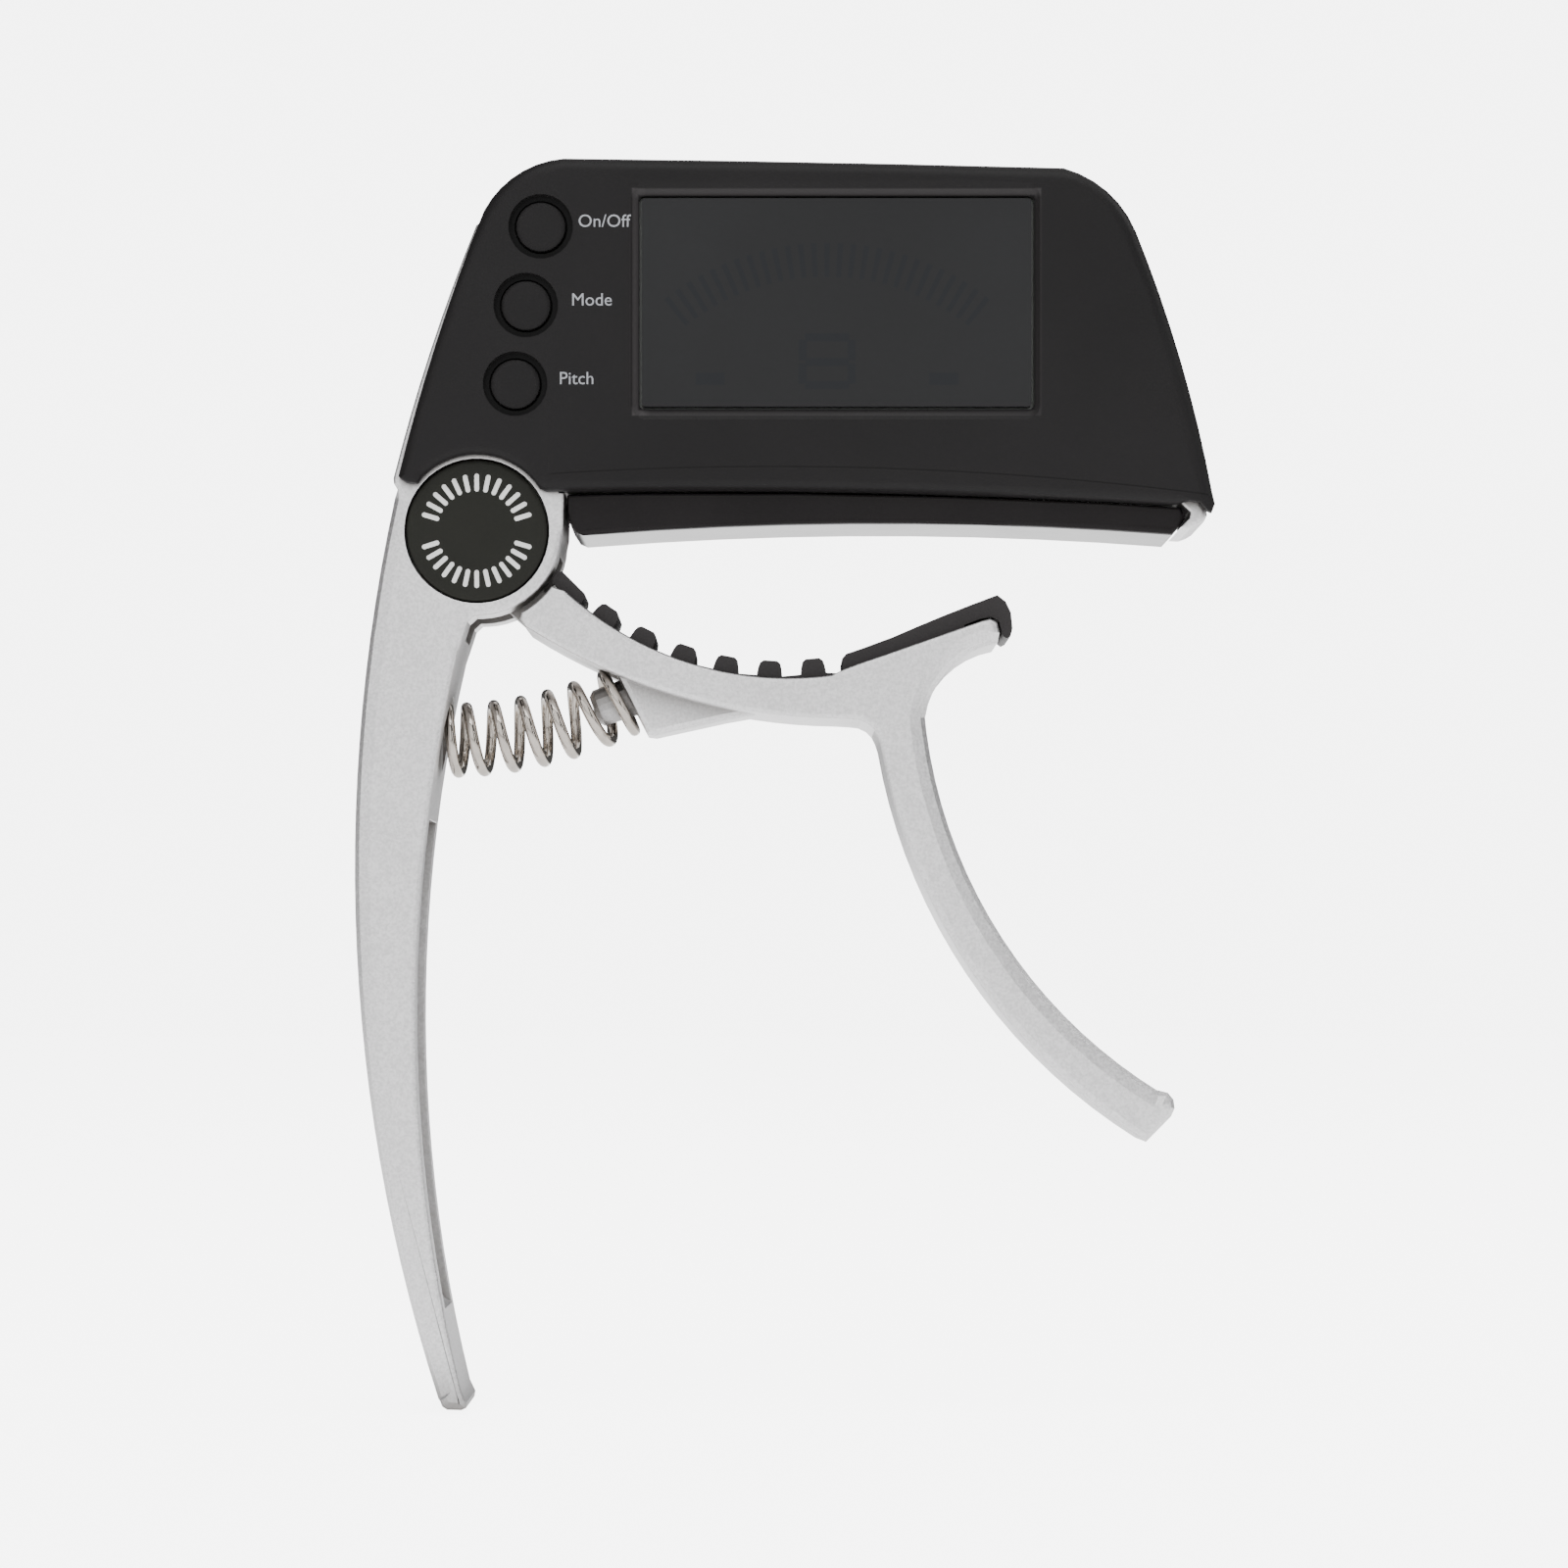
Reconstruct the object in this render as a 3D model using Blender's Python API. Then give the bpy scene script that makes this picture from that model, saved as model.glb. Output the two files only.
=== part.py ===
"""Clamp-on instrument tuner with a spring jaw, modelled as an assembly of separate sub-parts.

The dimensions below are millimetres, measured from the pivot of the two levers:
X to the right, Y to the back, Z up, with the display facing -Y.
Each object is then placed so that the middle of the fixed jaw's contact face is the world origin.
"""

import math

import bpy
from mathutils import Vector

MM = 0.001
SMOOTH_BELOW = math.radians(32)

# Castings
CAST_HALF = 7.0
HUB_R = 8.0
SLOT_HALF = 3.0
SLOT_R = 7.0
TONGUE_HALF = 2.6
TONGUE_R = 6.5
BORE_R = 2.6
CAP_RECESS_R = 6.85
CAP_RECESS_FLOOR = 4.8
BAR_TOP = 6.2
BAR_FRONT = -5.5
EDGE_SHARP = 0.25
EDGE_SOFT = 1.0
EDGE_SPREAD = 1.5
WALL_CENTRE = (167.8, -39.3)
WALL_R = 181.2
WALL_THICK = 1.4
WALL_TOP = 28.9
WALL_END = 29.4

# Tuner head
HEAD_FRONT = -8.5
HEAD_BACK = 8.0
LIP_BACK = -7.2
PARTING = 0.1
FACE_INSIDE = -7.0
BACK_INSIDE = 6.8
SHELL_WALL = 1.2
CLEAR = 0.2
WINDOW = (15.6, 52.3, 11.6, 31.2)
BUTTONS = {"power_button": (6.1, 28.5), "mode_button": (4.7, 21.1), "pitch_button": (3.7, 13.7)}
CASE_SCREWS = ((9.8, 11.0), (63.0, 11.5), (57.5, 29.0), (10.8, 31.6))
BOARD_SCREWS = ((60.5, 20.0), (10.4, 21.0))
BOARD_FRONT = -2.5
BOARD_BACK = -1.3
EAR_FRONT = 0.3
EAR_BACK = 1.7
CELL_CENTRE = (34.0, 21.5)
CELL_R = 10.0
DOOR_R = 12.0
PICKUP_CENTRE = (54.6, 10.9)
PICKUP_R = 2.8

# Jaws
PAD_HALF = 6.3
PAD_LEFT = 10.9
PAD_RIGHT = 65.7
PAD_RISE = 1.05
PAD_END_Z = -0.3
PAD_FACETS = 9
ARM_CENTRE = (29.4, 17.2)
ARM_R = 31.1
GRIP_HALF = 5.6
CHANNEL_HALF = 5.8
CHANNEL_FLOOR_R = 32.4
TEETH = 6
TOOTH_FIRST = -34.5
TOOTH_STEP = 7.8
TOOTH_TOP_R = 29.5
TOOTH_GROWTH = 0.0024

# Spring
SPRING_START = (-3.2, -19.4)
BOSS_TOP = (12.2, -11.6)
BOSS_FOOT = (16.0, -19.0)
WIRE_R = 0.5
COIL_R = 3.1
FIRST_PITCH = 1.8
COIL_PITCH = 2.6
LAST_PITCH = 3.5
END_PITCH = 0.67
OPEN_TURNS = 4
END_TURN = 0.75
SPRING_TURNS = 2 + OPEN_TURNS + END_TURN
SEAT_DEPTH = 2.4
LEAN_PER_TURN = 2.8
PEG_TILT = 20.0

FINISHES = {
    "satin_casting": ((0.60, 0.595, 0.60), 0.38, 0.9),
    "black_shell": ((0.021, 0.020, 0.020), 0.42, 0.0),
    "button_plastic": ((0.020, 0.020, 0.020), 0.5, 0.0),
    "cap_plastic": ((0.028, 0.028, 0.024), 0.35, 0.0),
    "jaw_rubber": ((0.024, 0.020, 0.021), 0.6, 0.0),
    "spring_steel": ((0.72, 0.70, 0.67), 0.16, 1.0),
    "pin_steel": ((0.55, 0.55, 0.56), 0.28, 1.0),
    "bush_nylon": ((0.72, 0.71, 0.66), 0.5, 0.0),
    "display_glass": ((0.033, 0.034, 0.036), 0.12, 0.0),
    "display_cell": ((0.16, 0.18, 0.16), 0.25, 0.0),
    "light_guide_acrylic": ((0.85, 0.86, 0.84), 0.2, 0.0),
    "connector_silicone": ((0.75, 0.42, 0.50), 0.6, 0.0),
    "board_green": ((0.015, 0.12, 0.045), 0.45, 0.0),
    "chip_black": ((0.018, 0.018, 0.019), 0.5, 0.0),
    "can_metal": ((0.62, 0.62, 0.60), 0.25, 1.0),
    "capacitor_ceramic": ((0.50, 0.33, 0.17), 0.5, 0.0),
    "pickup_brass": ((0.80, 0.60, 0.28), 0.3, 1.0),
    "cell_steel": ((0.66, 0.66, 0.65), 0.22, 1.0),
    "contact_nickel": ((0.68, 0.65, 0.58), 0.25, 1.0),
    "cradle_plastic": ((0.05, 0.05, 0.05), 0.5, 0.0),
    "screw_steel": ((0.45, 0.45, 0.46), 0.3, 1.0),
}


# ---------------------------------------------------------------- outlines


def circle_of(start, through, end):
    """Centre and radius of the circle through three points."""
    (ax, az), (bx, bz), (cx, cz) = start, through, end
    a2, b2, c2 = ax * ax + az * az, bx * bx + bz * bz, cx * cx + cz * cz
    d = 2 * (ax * (bz - cz) + bx * (cz - az) + cx * (az - bz))
    x = (a2 * (bz - cz) + b2 * (cz - az) + c2 * (az - bz)) / d
    z = (a2 * (cx - bx) + b2 * (ax - cx) + c2 * (bx - ax)) / d
    return (x, z), math.hypot(ax - x, az - z)


def arc(start, through, end, steps):
    """Points from start to end on the circle that also passes through the second point."""
    (x, z), radius = circle_of(start, through, end)
    first, middle, last = (math.atan2(p[1] - z, p[0] - x) for p in (start, through, end))
    sweep = (last - first) % math.tau
    if (middle - first) % math.tau > sweep:
        sweep -= math.tau
    angles = (first + sweep * k / steps for k in range(steps + 1))
    return [(x + radius * math.cos(a), z + radius * math.sin(a)) for a in angles]


def swing(centre, radius, first, last, steps):
    """Points on a circle between two angles in degrees, counted from +X."""
    angles = (math.radians(first + (last - first) * k / steps) for k in range(steps + 1))
    return [(centre[0] + radius * math.cos(a), centre[1] + radius * math.sin(a)) for a in angles]


def arm_point(degrees, radius):
    """A point at an angle from straight down, around the centre of the curved arm."""
    a = math.radians(degrees)
    return (ARM_CENTRE[0] + radius * math.sin(a), ARM_CENTRE[1] - radius * math.cos(a))


def arm_arc(first, last, radius, steps):
    return [arm_point(first + (last - first) * k / steps, radius) for k in range(steps + 1)]


def wall_x(z, inward):
    """X of the curved side of the head at a height, moved inwards from the casting's outer face."""
    return WALL_CENTRE[0] - math.sqrt((WALL_R - inward) ** 2 - (z - WALL_CENTRE[1]) ** 2)


def wall_line(low, high, inward, steps):
    heights = (low + (high - low) * k / steps for k in range(steps + 1))
    return [(wall_x(z, inward), z) for z in heights]


def rectangle(x0, x1, z0, z1):
    return [(x0, z0), (x1, z0), (x1, z1), (x0, z1)]


def rounded_rectangle(x0, x1, z0, z1, r, steps=3):
    corners = ((x1 - r, z0 + r, -90), (x1 - r, z1 - r, 0), (x0 + r, z1 - r, 90), (x0 + r, z0 + r, 180))
    return [p for x, z, a in corners for p in swing((x, z), r, a, a + 90, steps)]


def joined(*runs):
    """One closed outline from (points, edge radius) runs, without repeated points."""
    outline = []
    for points, edge in runs:
        for x, z in points:
            if not outline or math.dist(outline[-1][:2], (x, z)) > 0.02:
                outline.append((x, z, edge))
    if math.dist(outline[0][:2], outline[-1][:2]) < 0.02:
        outline.pop()
    return outline


def unit(x, z):
    size = math.hypot(x, z)
    return x / size, z / size


def inset(points, widths):
    """The outline, counter-clockwise, with each corner moved inwards along its mitre."""
    moved = []
    for i, (x, z) in enumerate(points):
        ax, az = unit(x - points[i - 1][0], z - points[i - 1][1])
        bx, bz = unit(points[(i + 1) % len(points)][0] - x, points[(i + 1) % len(points)][1] - z)
        nx, nz = -(az + bz), ax + bx
        reach = widths[i] / max(1 + ax * bx + az * bz, 0.6)
        moved.append((x + nx * reach, z + nz * reach))
    return moved


def area(points):
    pairs = zip(points, points[1:] + points[:1])
    return sum(ax * bz - bx * az for (ax, az), (bx, bz) in pairs) / 2


# ---------------------------------------------------------------- solids


def slab(outline, front, back, steps=2, flat_front=False, flat_back=False, spread=1.0):
    """An outline drawn through the depth. A third number at a point is its edge radius."""
    points = [tuple(p[:2]) for p in outline]
    edges = [p[2] if len(p) > 2 else 0.0 for p in outline]
    if area(points) < 0:
        points.reverse()
        edges.reverse()
    rings = []
    turns = [math.pi / 2 * k / steps for k in range(steps + 1)] if any(edges) else [math.pi / 2]
    if flat_front:
        rings.append([(x, front, z) for x, z in points])
    else:
        for turn in turns:
            narrowed = inset(points, [e * spread * (1 - math.sin(turn)) for e in edges])
            depths = [front + e * (1 - math.cos(turn)) for e in edges]
            rings.append([(x, y, z) for (x, z), y in zip(narrowed, depths)])
    if flat_back:
        rings.append([(x, back, z) for x, z in points])
    else:
        for turn in reversed(turns):
            narrowed = inset(points, [e * spread * (1 - math.sin(turn)) for e in edges])
            depths = [back - e * (1 - math.cos(turn)) for e in edges]
            rings.append([(x, y, z) for (x, z), y in zip(narrowed, depths)])
    return stitched(rings, True)


def stitched(rings, capped):
    """Faces between rings of equal length, the last joined to the first where there are no caps."""
    count = len(rings[0])
    vertices = [p for ring in rings for p in ring]
    faces = []
    for j in range(len(rings) if not capped else len(rings) - 1):
        a, b = j * count, (j + 1) % len(rings) * count
        for i in range(count):
            k = (i + 1) % count
            faces.append((a + i, b + i, b + k, a + k))
    if capped:
        faces.append(tuple(range(count)))
        last = (len(rings) - 1) * count
        faces.append(tuple(last + i for i in reversed(range(count))))
    return vertices, faces


def turned(centre, profile, steps=24, axis=(0, 1, 0), hollow=False):
    """A profile of (distance along the axis, radius) turned round the axis."""
    axis = Vector(axis).normalized()
    side = axis.orthogonal().normalized()
    other = axis.cross(side)
    rings = []
    for along, radius in profile:
        ring = []
        for k in range(steps):
            a = -math.tau * (k + 0.5) / steps
            p = Vector(centre) + axis * along + (side * math.cos(a) + other * math.sin(a)) * radius
            ring.append(tuple(p))
        rings.append(ring)
    return stitched(rings, not hollow)


def disc(centre, y0, y1, radius, chamfer=0.0, steps=24):
    profile = [(y0, radius), (y1, radius)]
    if chamfer:
        profile = [
            (y0, radius - chamfer),
            (y0 + chamfer, radius),
            (y1 - chamfer, radius),
            (y1, radius - chamfer),
        ]
    return turned((centre[0], 0, centre[1]), profile, steps)


def sleeve(centre, y0, y1, inner, outer, steps=24):
    profile = [(y0, outer), (y1, outer), (y1, inner), (y0, inner)]
    return turned((centre[0], 0, centre[1]), profile, steps, hollow=True)


def block(x0, x1, y0, y1, z0, z1):
    return slab(rectangle(x0, x1, z0, z1), y0, y1)


# ---------------------------------------------------------------- objects


def fixed_pad_face():
    """The contact face of the fixed jaw: a shallow hollow in equal flat facets, left to right."""
    middle = (PAD_LEFT + PAD_RIGHT) / 2
    run = arc((PAD_LEFT, PAD_END_Z), (middle, PAD_END_Z + PAD_RISE), (PAD_RIGHT, PAD_END_Z), PAD_FACETS)
    return run


def contact_middle():
    face = fixed_pad_face()
    return ((PAD_LEFT + PAD_RIGHT) / 2, 0.0, face[PAD_FACETS // 2][1])


WORLD_ORIGIN = Vector(contact_middle())


def finish(name):
    found = bpy.data.materials.get(name)
    if found:
        return found
    colour, roughness, metallic = FINISHES[name]
    made = bpy.data.materials.new(name)
    made.use_nodes = True
    shader = made.node_tree.nodes["Principled BSDF"]
    shader.inputs["Base Color"].default_value = (*colour, 1.0)
    shader.inputs["Roughness"].default_value = roughness
    shader.inputs["Metallic"].default_value = metallic
    made.diffuse_color = (*colour, 1.0)
    return made


def make(name, finish_name, *solids, origin=(0, 0, 0)):
    """One object from one or more separate closed solids, with its origin at a given place."""
    origin = Vector(origin)
    vertices, faces = [], []
    for points, polygons in solids:
        first = len(vertices)
        vertices += [(Vector(p) - origin) * MM for p in points]
        faces += [tuple(first + i for i in polygon) for polygon in polygons]
    mesh = bpy.data.meshes.new(name)
    mesh.from_pydata(vertices, [], faces)
    if finish_name:
        mesh.materials.append(finish(finish_name))
    mesh.shade_smooth()
    mesh.set_sharp_from_angle(angle=SMOOTH_BELOW)
    made = bpy.data.objects.new(name, mesh)
    made.location = (origin - WORLD_ORIGIN) * MM
    bpy.context.scene.collection.objects.link(made)
    return made


def apply_tool(target, operation, name, *solids):
    """Cuts or adds solids with an exact Boolean. The tool itself is hidden from the render."""
    tool = make(f"{target.name}_{name}", None, *solids)
    tool.hide_render = True
    tool.display_type = "WIRE"
    step = target.modifiers.new(name, "BOOLEAN")
    step.operation = operation
    step.solver = "EXACT"
    step.object = tool


def cut(target, name, *solids):
    apply_tool(target, "DIFFERENCE", name, *solids)


def add(target, name, *solids):
    apply_tool(target, "UNION", name, *solids)


def clear_scene():
    for old in list(bpy.data.objects):
        bpy.data.objects.remove(old, do_unlink=True)


# ---------------------------------------------------------------- castings


def fixed_lever_outline():
    """Handle, hub, jaw bar and the side wall that the head leans on, as one outline."""
    tip = [(-3.5, -82.2), (-3.3, -82.7), (-2.85, -83.0), (-1.5, -83.05), (-1.05, -82.85), (-0.95, -82.3)]
    palm_side = arc((-1.5, -81.2), (-5.8, -45.9), (-1.85, -11.6), 22)
    crotch = [(-1.2, -9.7), (-0.85, -8.6), (-0.2, -HUB_R)]
    hub_side = swing((0, 0), HUB_R, -88, -4, 13)
    pad_stop = [(8.15, 0.3), (8.2, 2.0), (8.25, 3.3)]
    bar_under = arc((8.25, 3.72), (30.0, 3.8), (66.4, 2.75), 8)
    end_hook = [(66.7, 2.4), (67.35, 1.8), (67.3, 1.25), (66.45, 0.35)]
    end_nose = [(67.4, 0.3), *arc((68.1, 0.55), (68.9, 1.3), (68.5, 2.6), 4)]
    bar_end = [(68.4, 3.7), (68.1, BAR_TOP)]
    hub_top = swing((0, 0), HUB_R, math.degrees(math.asin(BAR_TOP / HUB_R)), 141, 9)
    wall_inside = wall_line(5.3, WALL_TOP, WALL_THICK, 8)
    wall_end = [(wall_x(WALL_END, 0.9), WALL_END), (wall_x(WALL_END, 0.4), WALL_END - 0.1)]
    wall_outside = wall_line(WALL_TOP, 5.0, 0.0, 8)
    shoulder = [(-7.85, 4.5), (-7.5, 3.9)]
    back_of_handle = arc((-7.8, 3.2), (-11.6, -33.1), (-3.7, -82.0), 26)
    return joined(
        (tip, 0.5),
        (palm_side, EDGE_SHARP),
        (crotch, EDGE_SHARP),
        (hub_side, 0.3),
        (pad_stop, 0.15),
        (bar_under, EDGE_SHARP),
        (end_hook, 0.15),
        (end_nose, 0.3),
        (bar_end, EDGE_SHARP),
        (hub_top, EDGE_SHARP),
        (wall_inside, EDGE_SHARP),
        (wall_end, EDGE_SHARP),
        (wall_outside, 0.4),
        (shoulder, 0.3),
        (back_of_handle, EDGE_SOFT),
    )


def ear_outline(x0, x1, top, r):
    return [(x0, BAR_TOP - 0.7), (x1, BAR_TOP - 0.7), *swing((x1 - r, top - r), r, 0, 90, 5),
            *swing((x0 + r, top - r), r, 90, 180, 5)]


def lever_slot_outline():
    """Room between the cheeks for the other lever's tongue at every angle."""
    return swing((0, 0), SLOT_R, -15, 243, 22) + [(-1.6, -9.5), (0.5, -14.0), (14.0, -14.0), (14.0, -3.8)]


def handle_pocket_outline():
    """A lightening pocket in the palm side of the handle."""
    floor = arc((-7.9, -29.0), (-8.4, -46.0), (-4.5, -72.5), 12)
    return floor + [(-2.0, -74.5), (0.5, -74.0), (0.5, -27.5), (-6.6, -27.0)]


def make_fixed_lever():
    casting = slab(fixed_lever_outline(), -CAST_HALF, CAST_HALF, spread=EDGE_SPREAD)
    lever = make("fixed_lever", "satin_casting", casting)
    ears = [ear_outline(6.6, 13.0, 14.2, 3.1), ear_outline(50.5, 66.2, 14.0, 2.2)]
    add(lever, "ears", *(slab(e, EAR_FRONT, EAR_BACK) for e in ears))
    cut(lever, "ear_holes", *(disc(c, EAR_FRONT - 1, EAR_BACK + 1, 1.2, steps=14) for c in CASE_SCREWS[:2]))
    cut(lever, "bar_relief", block(7.7, 66.1, -8.0, BAR_FRONT, 3.55, 7.0))
    cut(lever, "bar_foot_relief", block(8.5, 66.1, -8.0, BAR_FRONT, 2.0, 3.8))
    cut(lever, "bar_end_relief", block(65.9, 70.0, -8.0, BAR_FRONT, 3.75, 7.0))
    cut(lever, "tongue_slot", slab(lever_slot_outline(), -SLOT_HALF, SLOT_HALF))
    cut(lever, "pin_bore", disc((0, 0), -CAST_HALF - 1, CAST_HALF + 1, BORE_R, steps=28))
    cut(lever, "front_recess", disc((0, 0), -CAST_HALF - 1, -CAP_RECESS_FLOOR, CAP_RECESS_R, steps=48))
    cut(lever, "rear_recess", disc((0, 0), CAP_RECESS_FLOOR, CAST_HALF + 1, CAP_RECESS_R, steps=48))
    cut(lever, "palm_pocket", slab(handle_pocket_outline(), -4.6, 4.6))
    seat = turned((-3.95, 0, SPRING_START[1]), [(0.0, 4.1), (5.0, 4.1)], 24, axis=(1, 0, 0))
    cut(lever, "spring_seat", seat)
    return lever


def squeeze_lever_outline():
    """The curved jaw arm and the finger grip that branches down from it."""
    underside = arc((4.6, -9.04), (18.0, -15.2), (34.0, -17.7), 16)
    elbow = arc((35.5, -17.8), (37.0, -18.25), (37.9, -19.5), 4)
    grip_inside = arc((38.15, -20.3), (47.38, -42.66), (63.2, -57.7), 18)
    tip = arc((65.6, -55.3), (65.95, -54.1), (65.3, -53.05), 3)
    grip_outside = arc((64.5, -52.95), (49.87, -38.77), (42.5, -19.0), 18)
    fork = arc((42.35, -17.6), (44.3, -13.3), (49.2, -10.5), 8)
    arm_end = [(49.35, -9.6), (49.1, -8.6), (48.5, -8.3)]
    arm_top = [(47.7, -8.48), (44.2, -9.71), (38.86, -11.58), (36.0, -12.56), (34.6, -13.08)]
    arm_top += arm_arc(7.5, -42.7, ARM_R, 24)
    root = swing((0, 0), 8.75, -36.5, -61.0, 5)
    return joined(
        (underside, EDGE_SHARP),
        (elbow, 0.35),
        (grip_inside, 0.45),
        (tip, 0.8),
        (grip_outside, EDGE_SOFT),
        (fork, EDGE_SOFT),
        (arm_end, 0.3),
        (arm_top, EDGE_SHARP),
        (root, 0.3),
        ([(4.05, -8.3)], 0.3),
    )


def tongue_outline():
    root = [(4.7, -8.9), (8.5, -10.4), (11.0, -9.5), (9.2, -6.9), (7.2, -5.1)]
    return swing((0, 0), TONGUE_R, -25, 285, 26) + root


def boss_outline():
    return [BOSS_FOOT, (16.8, -19.1), (23.4, -17.65), (27.6, -16.9), (27.0, -15.3), (13.2, -11.1), BOSS_TOP]


def boss_face():
    """Middle of the spring seat on the squeeze lever, and the direction that it faces."""
    across = Vector((BOSS_FOOT[0] - BOSS_TOP[0], 0, BOSS_FOOT[1] - BOSS_TOP[1])).normalized()
    middle = Vector(((BOSS_FOOT[0] + BOSS_TOP[0]) / 2, 0, (BOSS_FOOT[1] + BOSS_TOP[1]) / 2))
    return middle, Vector((across.z, 0, -across.x))


def make_squeeze_lever():
    arm = slab(squeeze_lever_outline(), -CAST_HALF, CAST_HALF, spread=EDGE_SPREAD)
    lever = make("squeeze_lever", "satin_casting", arm)
    add(lever, "tongue", slab(tongue_outline(), -TONGUE_HALF, TONGUE_HALF))
    add(lever, "boss", slab([(x, z, 0.6) for x, z in boss_outline()], -3.4, 3.4))
    middle, facing = boss_face()
    seat_r = COIL_R + WIRE_R + CLEAR
    cut(lever, "spring_seat", turned(middle, [(0.02, seat_r), (SEAT_DEPTH, seat_r)], 28, axis=facing))
    tilt = math.radians(PEG_TILT)
    towards = Vector((-math.cos(tilt), 0, -math.sin(tilt)))
    peg = turned(middle - towards * 1.4, [(0.0, 1.9), (4.4, 1.8), (4.9, 1.3)], 18, axis=towards)
    add(lever, "spring_peg", peg)
    channel = arm_arc(-48, 33, CHANNEL_FLOOR_R, 18) + arm_arc(33, -48, ARM_R - 2.0, 18)
    cut(lever, "pad_channel", slab(channel, -CHANNEL_HALF, CHANNEL_HALF))
    cut(lever, "tongue_bore", disc((0, 0), -TONGUE_HALF - 1, TONGUE_HALF + 1, 3.7, steps=28))
    return lever


# ---------------------------------------------------------------- pivot and spring


def make_pivot():
    head = [(-5.9, 4.1), (-5.7, 4.4), (-4.95, 4.4), (-4.95, 2.45), (5.05, 2.45), (5.05, 2.05)]
    tail = [(5.45, 2.05), (5.45, 2.45), (5.75, 2.2)]
    make("hinge_pin", "pin_steel", turned((0, 0, 0), head + tail, 28))
    make("retaining_ring", "spring_steel", sleeve((0, 0), 5.1, 5.4, 2.2, 4.2, 28))
    make("pivot_bush", "bush_nylon", sleeve((0, 0), -2.5, 2.5, 2.62, 3.5, 28))
    cap = [(0.0, 6.35), (0.15, 6.6), (0.4, 6.7), (1.0, 6.7)]
    make("front_cap", "cap_plastic", turned((0, -7.05, 0), cap, 48))
    rear = [(7.05 - along, radius) for along, radius in reversed(cap)]
    make("rear_cap", "cap_plastic", turned((0, 0, 0), rear, 48))


def spring_axis():
    """Radius and sweep of the arc that the spring's middle line follows at rest."""
    middle, facing = boss_face()
    end = middle + facing * (WIRE_R + CLEAR)
    dx, dz = end.x - SPRING_START[0], end.z - SPRING_START[1]
    sweep = 2 * math.atan2(dz, dx)
    return dx / math.sin(sweep), sweep


def axis_point(turns, bend, sweep):
    """A point of the spring's middle line after a number of turns, with close turns at both ends."""
    runs = ((1, FIRST_PITCH), (OPEN_TURNS, COIL_PITCH), (1, LAST_PITCH), (END_TURN, END_PITCH))
    along, before = 0.0, 0.0
    for length, pitch in runs:
        along += pitch * min(max(turns - before, 0.0), length)
        before += length
    tilt = along / sum(length * pitch for length, pitch in runs) * sweep
    return Vector((SPRING_START[0] + bend * math.sin(tilt), 0, SPRING_START[1] + bend * (1 - math.cos(tilt))))


def coil_lean(turns):
    """How far a turn leans from upright: slowly along the spring, then over to lie flat on its seat."""
    facing = boss_face()[1]
    seat = math.atan2(-facing.z, -facing.x)
    slow = math.radians(LEAN_PER_TURN) * turns
    last = seat - math.radians(LEAN_PER_TURN) * SPRING_TURNS
    part = min(max(turns - 1 - OPEN_TURNS, 0.0), 1.0)
    return slow + last * part * part * (3 - 2 * part)


def coil_point(turns, bend, sweep):
    """A point of the wire's middle line after a number of turns."""
    lean = coil_lean(turns)
    angle = math.tau * turns
    up = COIL_R * math.cos(angle)
    around = Vector((-math.sin(lean) * up, -COIL_R * math.sin(angle), math.cos(lean) * up))
    return axis_point(turns, bend, sweep) + around


def make_spring():
    bend, sweep = spring_axis()
    steps, sides = 14, 8
    total = round(SPRING_TURNS * steps)
    line = [coil_point(k / steps, bend, sweep) for k in range(total + 1)]
    rings = []
    for k, point in enumerate(line):
        along = (line[min(k + 1, total)] - line[max(k - 1, 0)]).normalized()
        out = point - axis_point(k / steps, bend, sweep)
        out = (out - along * out.dot(along)).normalized()
        side = along.cross(out)
        turns = (math.tau * i / sides for i in range(sides))
        rings.append([tuple(point + (out * math.cos(a) - side * math.sin(a)) * WIRE_R) for a in turns])
    make("coil_spring", "spring_steel", stitched(rings, True))


# ---------------------------------------------------------------- jaw pads


def make_fixed_pad():
    left = [(8.5, 3.45), (8.5, 2.0), (8.75, 0.8), (9.3, -0.05), (10.0, -0.35)]
    right = [(66.3, 0.35), (66.95, 1.3), (66.5, 2.2)]
    top = arc((66.1, 2.3), (30.0, 3.6), (8.5, 3.45), 8)
    outline = joined((left, 0.3), (fixed_pad_face(), 0.4), (right, 0.3), (top, 0.2))
    make("fixed_jaw_pad", "jaw_rubber", slab(outline, -PAD_HALF, PAD_HALF))


def tooth(number):
    """One rounded tooth, as (angle from its middle, height under the crown) on each side.

    The crowns rise with the cube of the tooth's number from the pivot.
    """
    middle = TOOTH_FIRST + number * TOOTH_STEP
    crown = TOOTH_TOP_R - TOOTH_GROWTH * number**3
    side = ((2.25, 1.5), (2.1, 0.75), (1.85, 0.3), (1.25, 0.05))
    right = [arm_point(middle + angle, crown + drop) for angle, drop in side]
    left = [arm_point(middle - angle, crown + drop) for angle, drop in reversed(side)]
    return right + left


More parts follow.
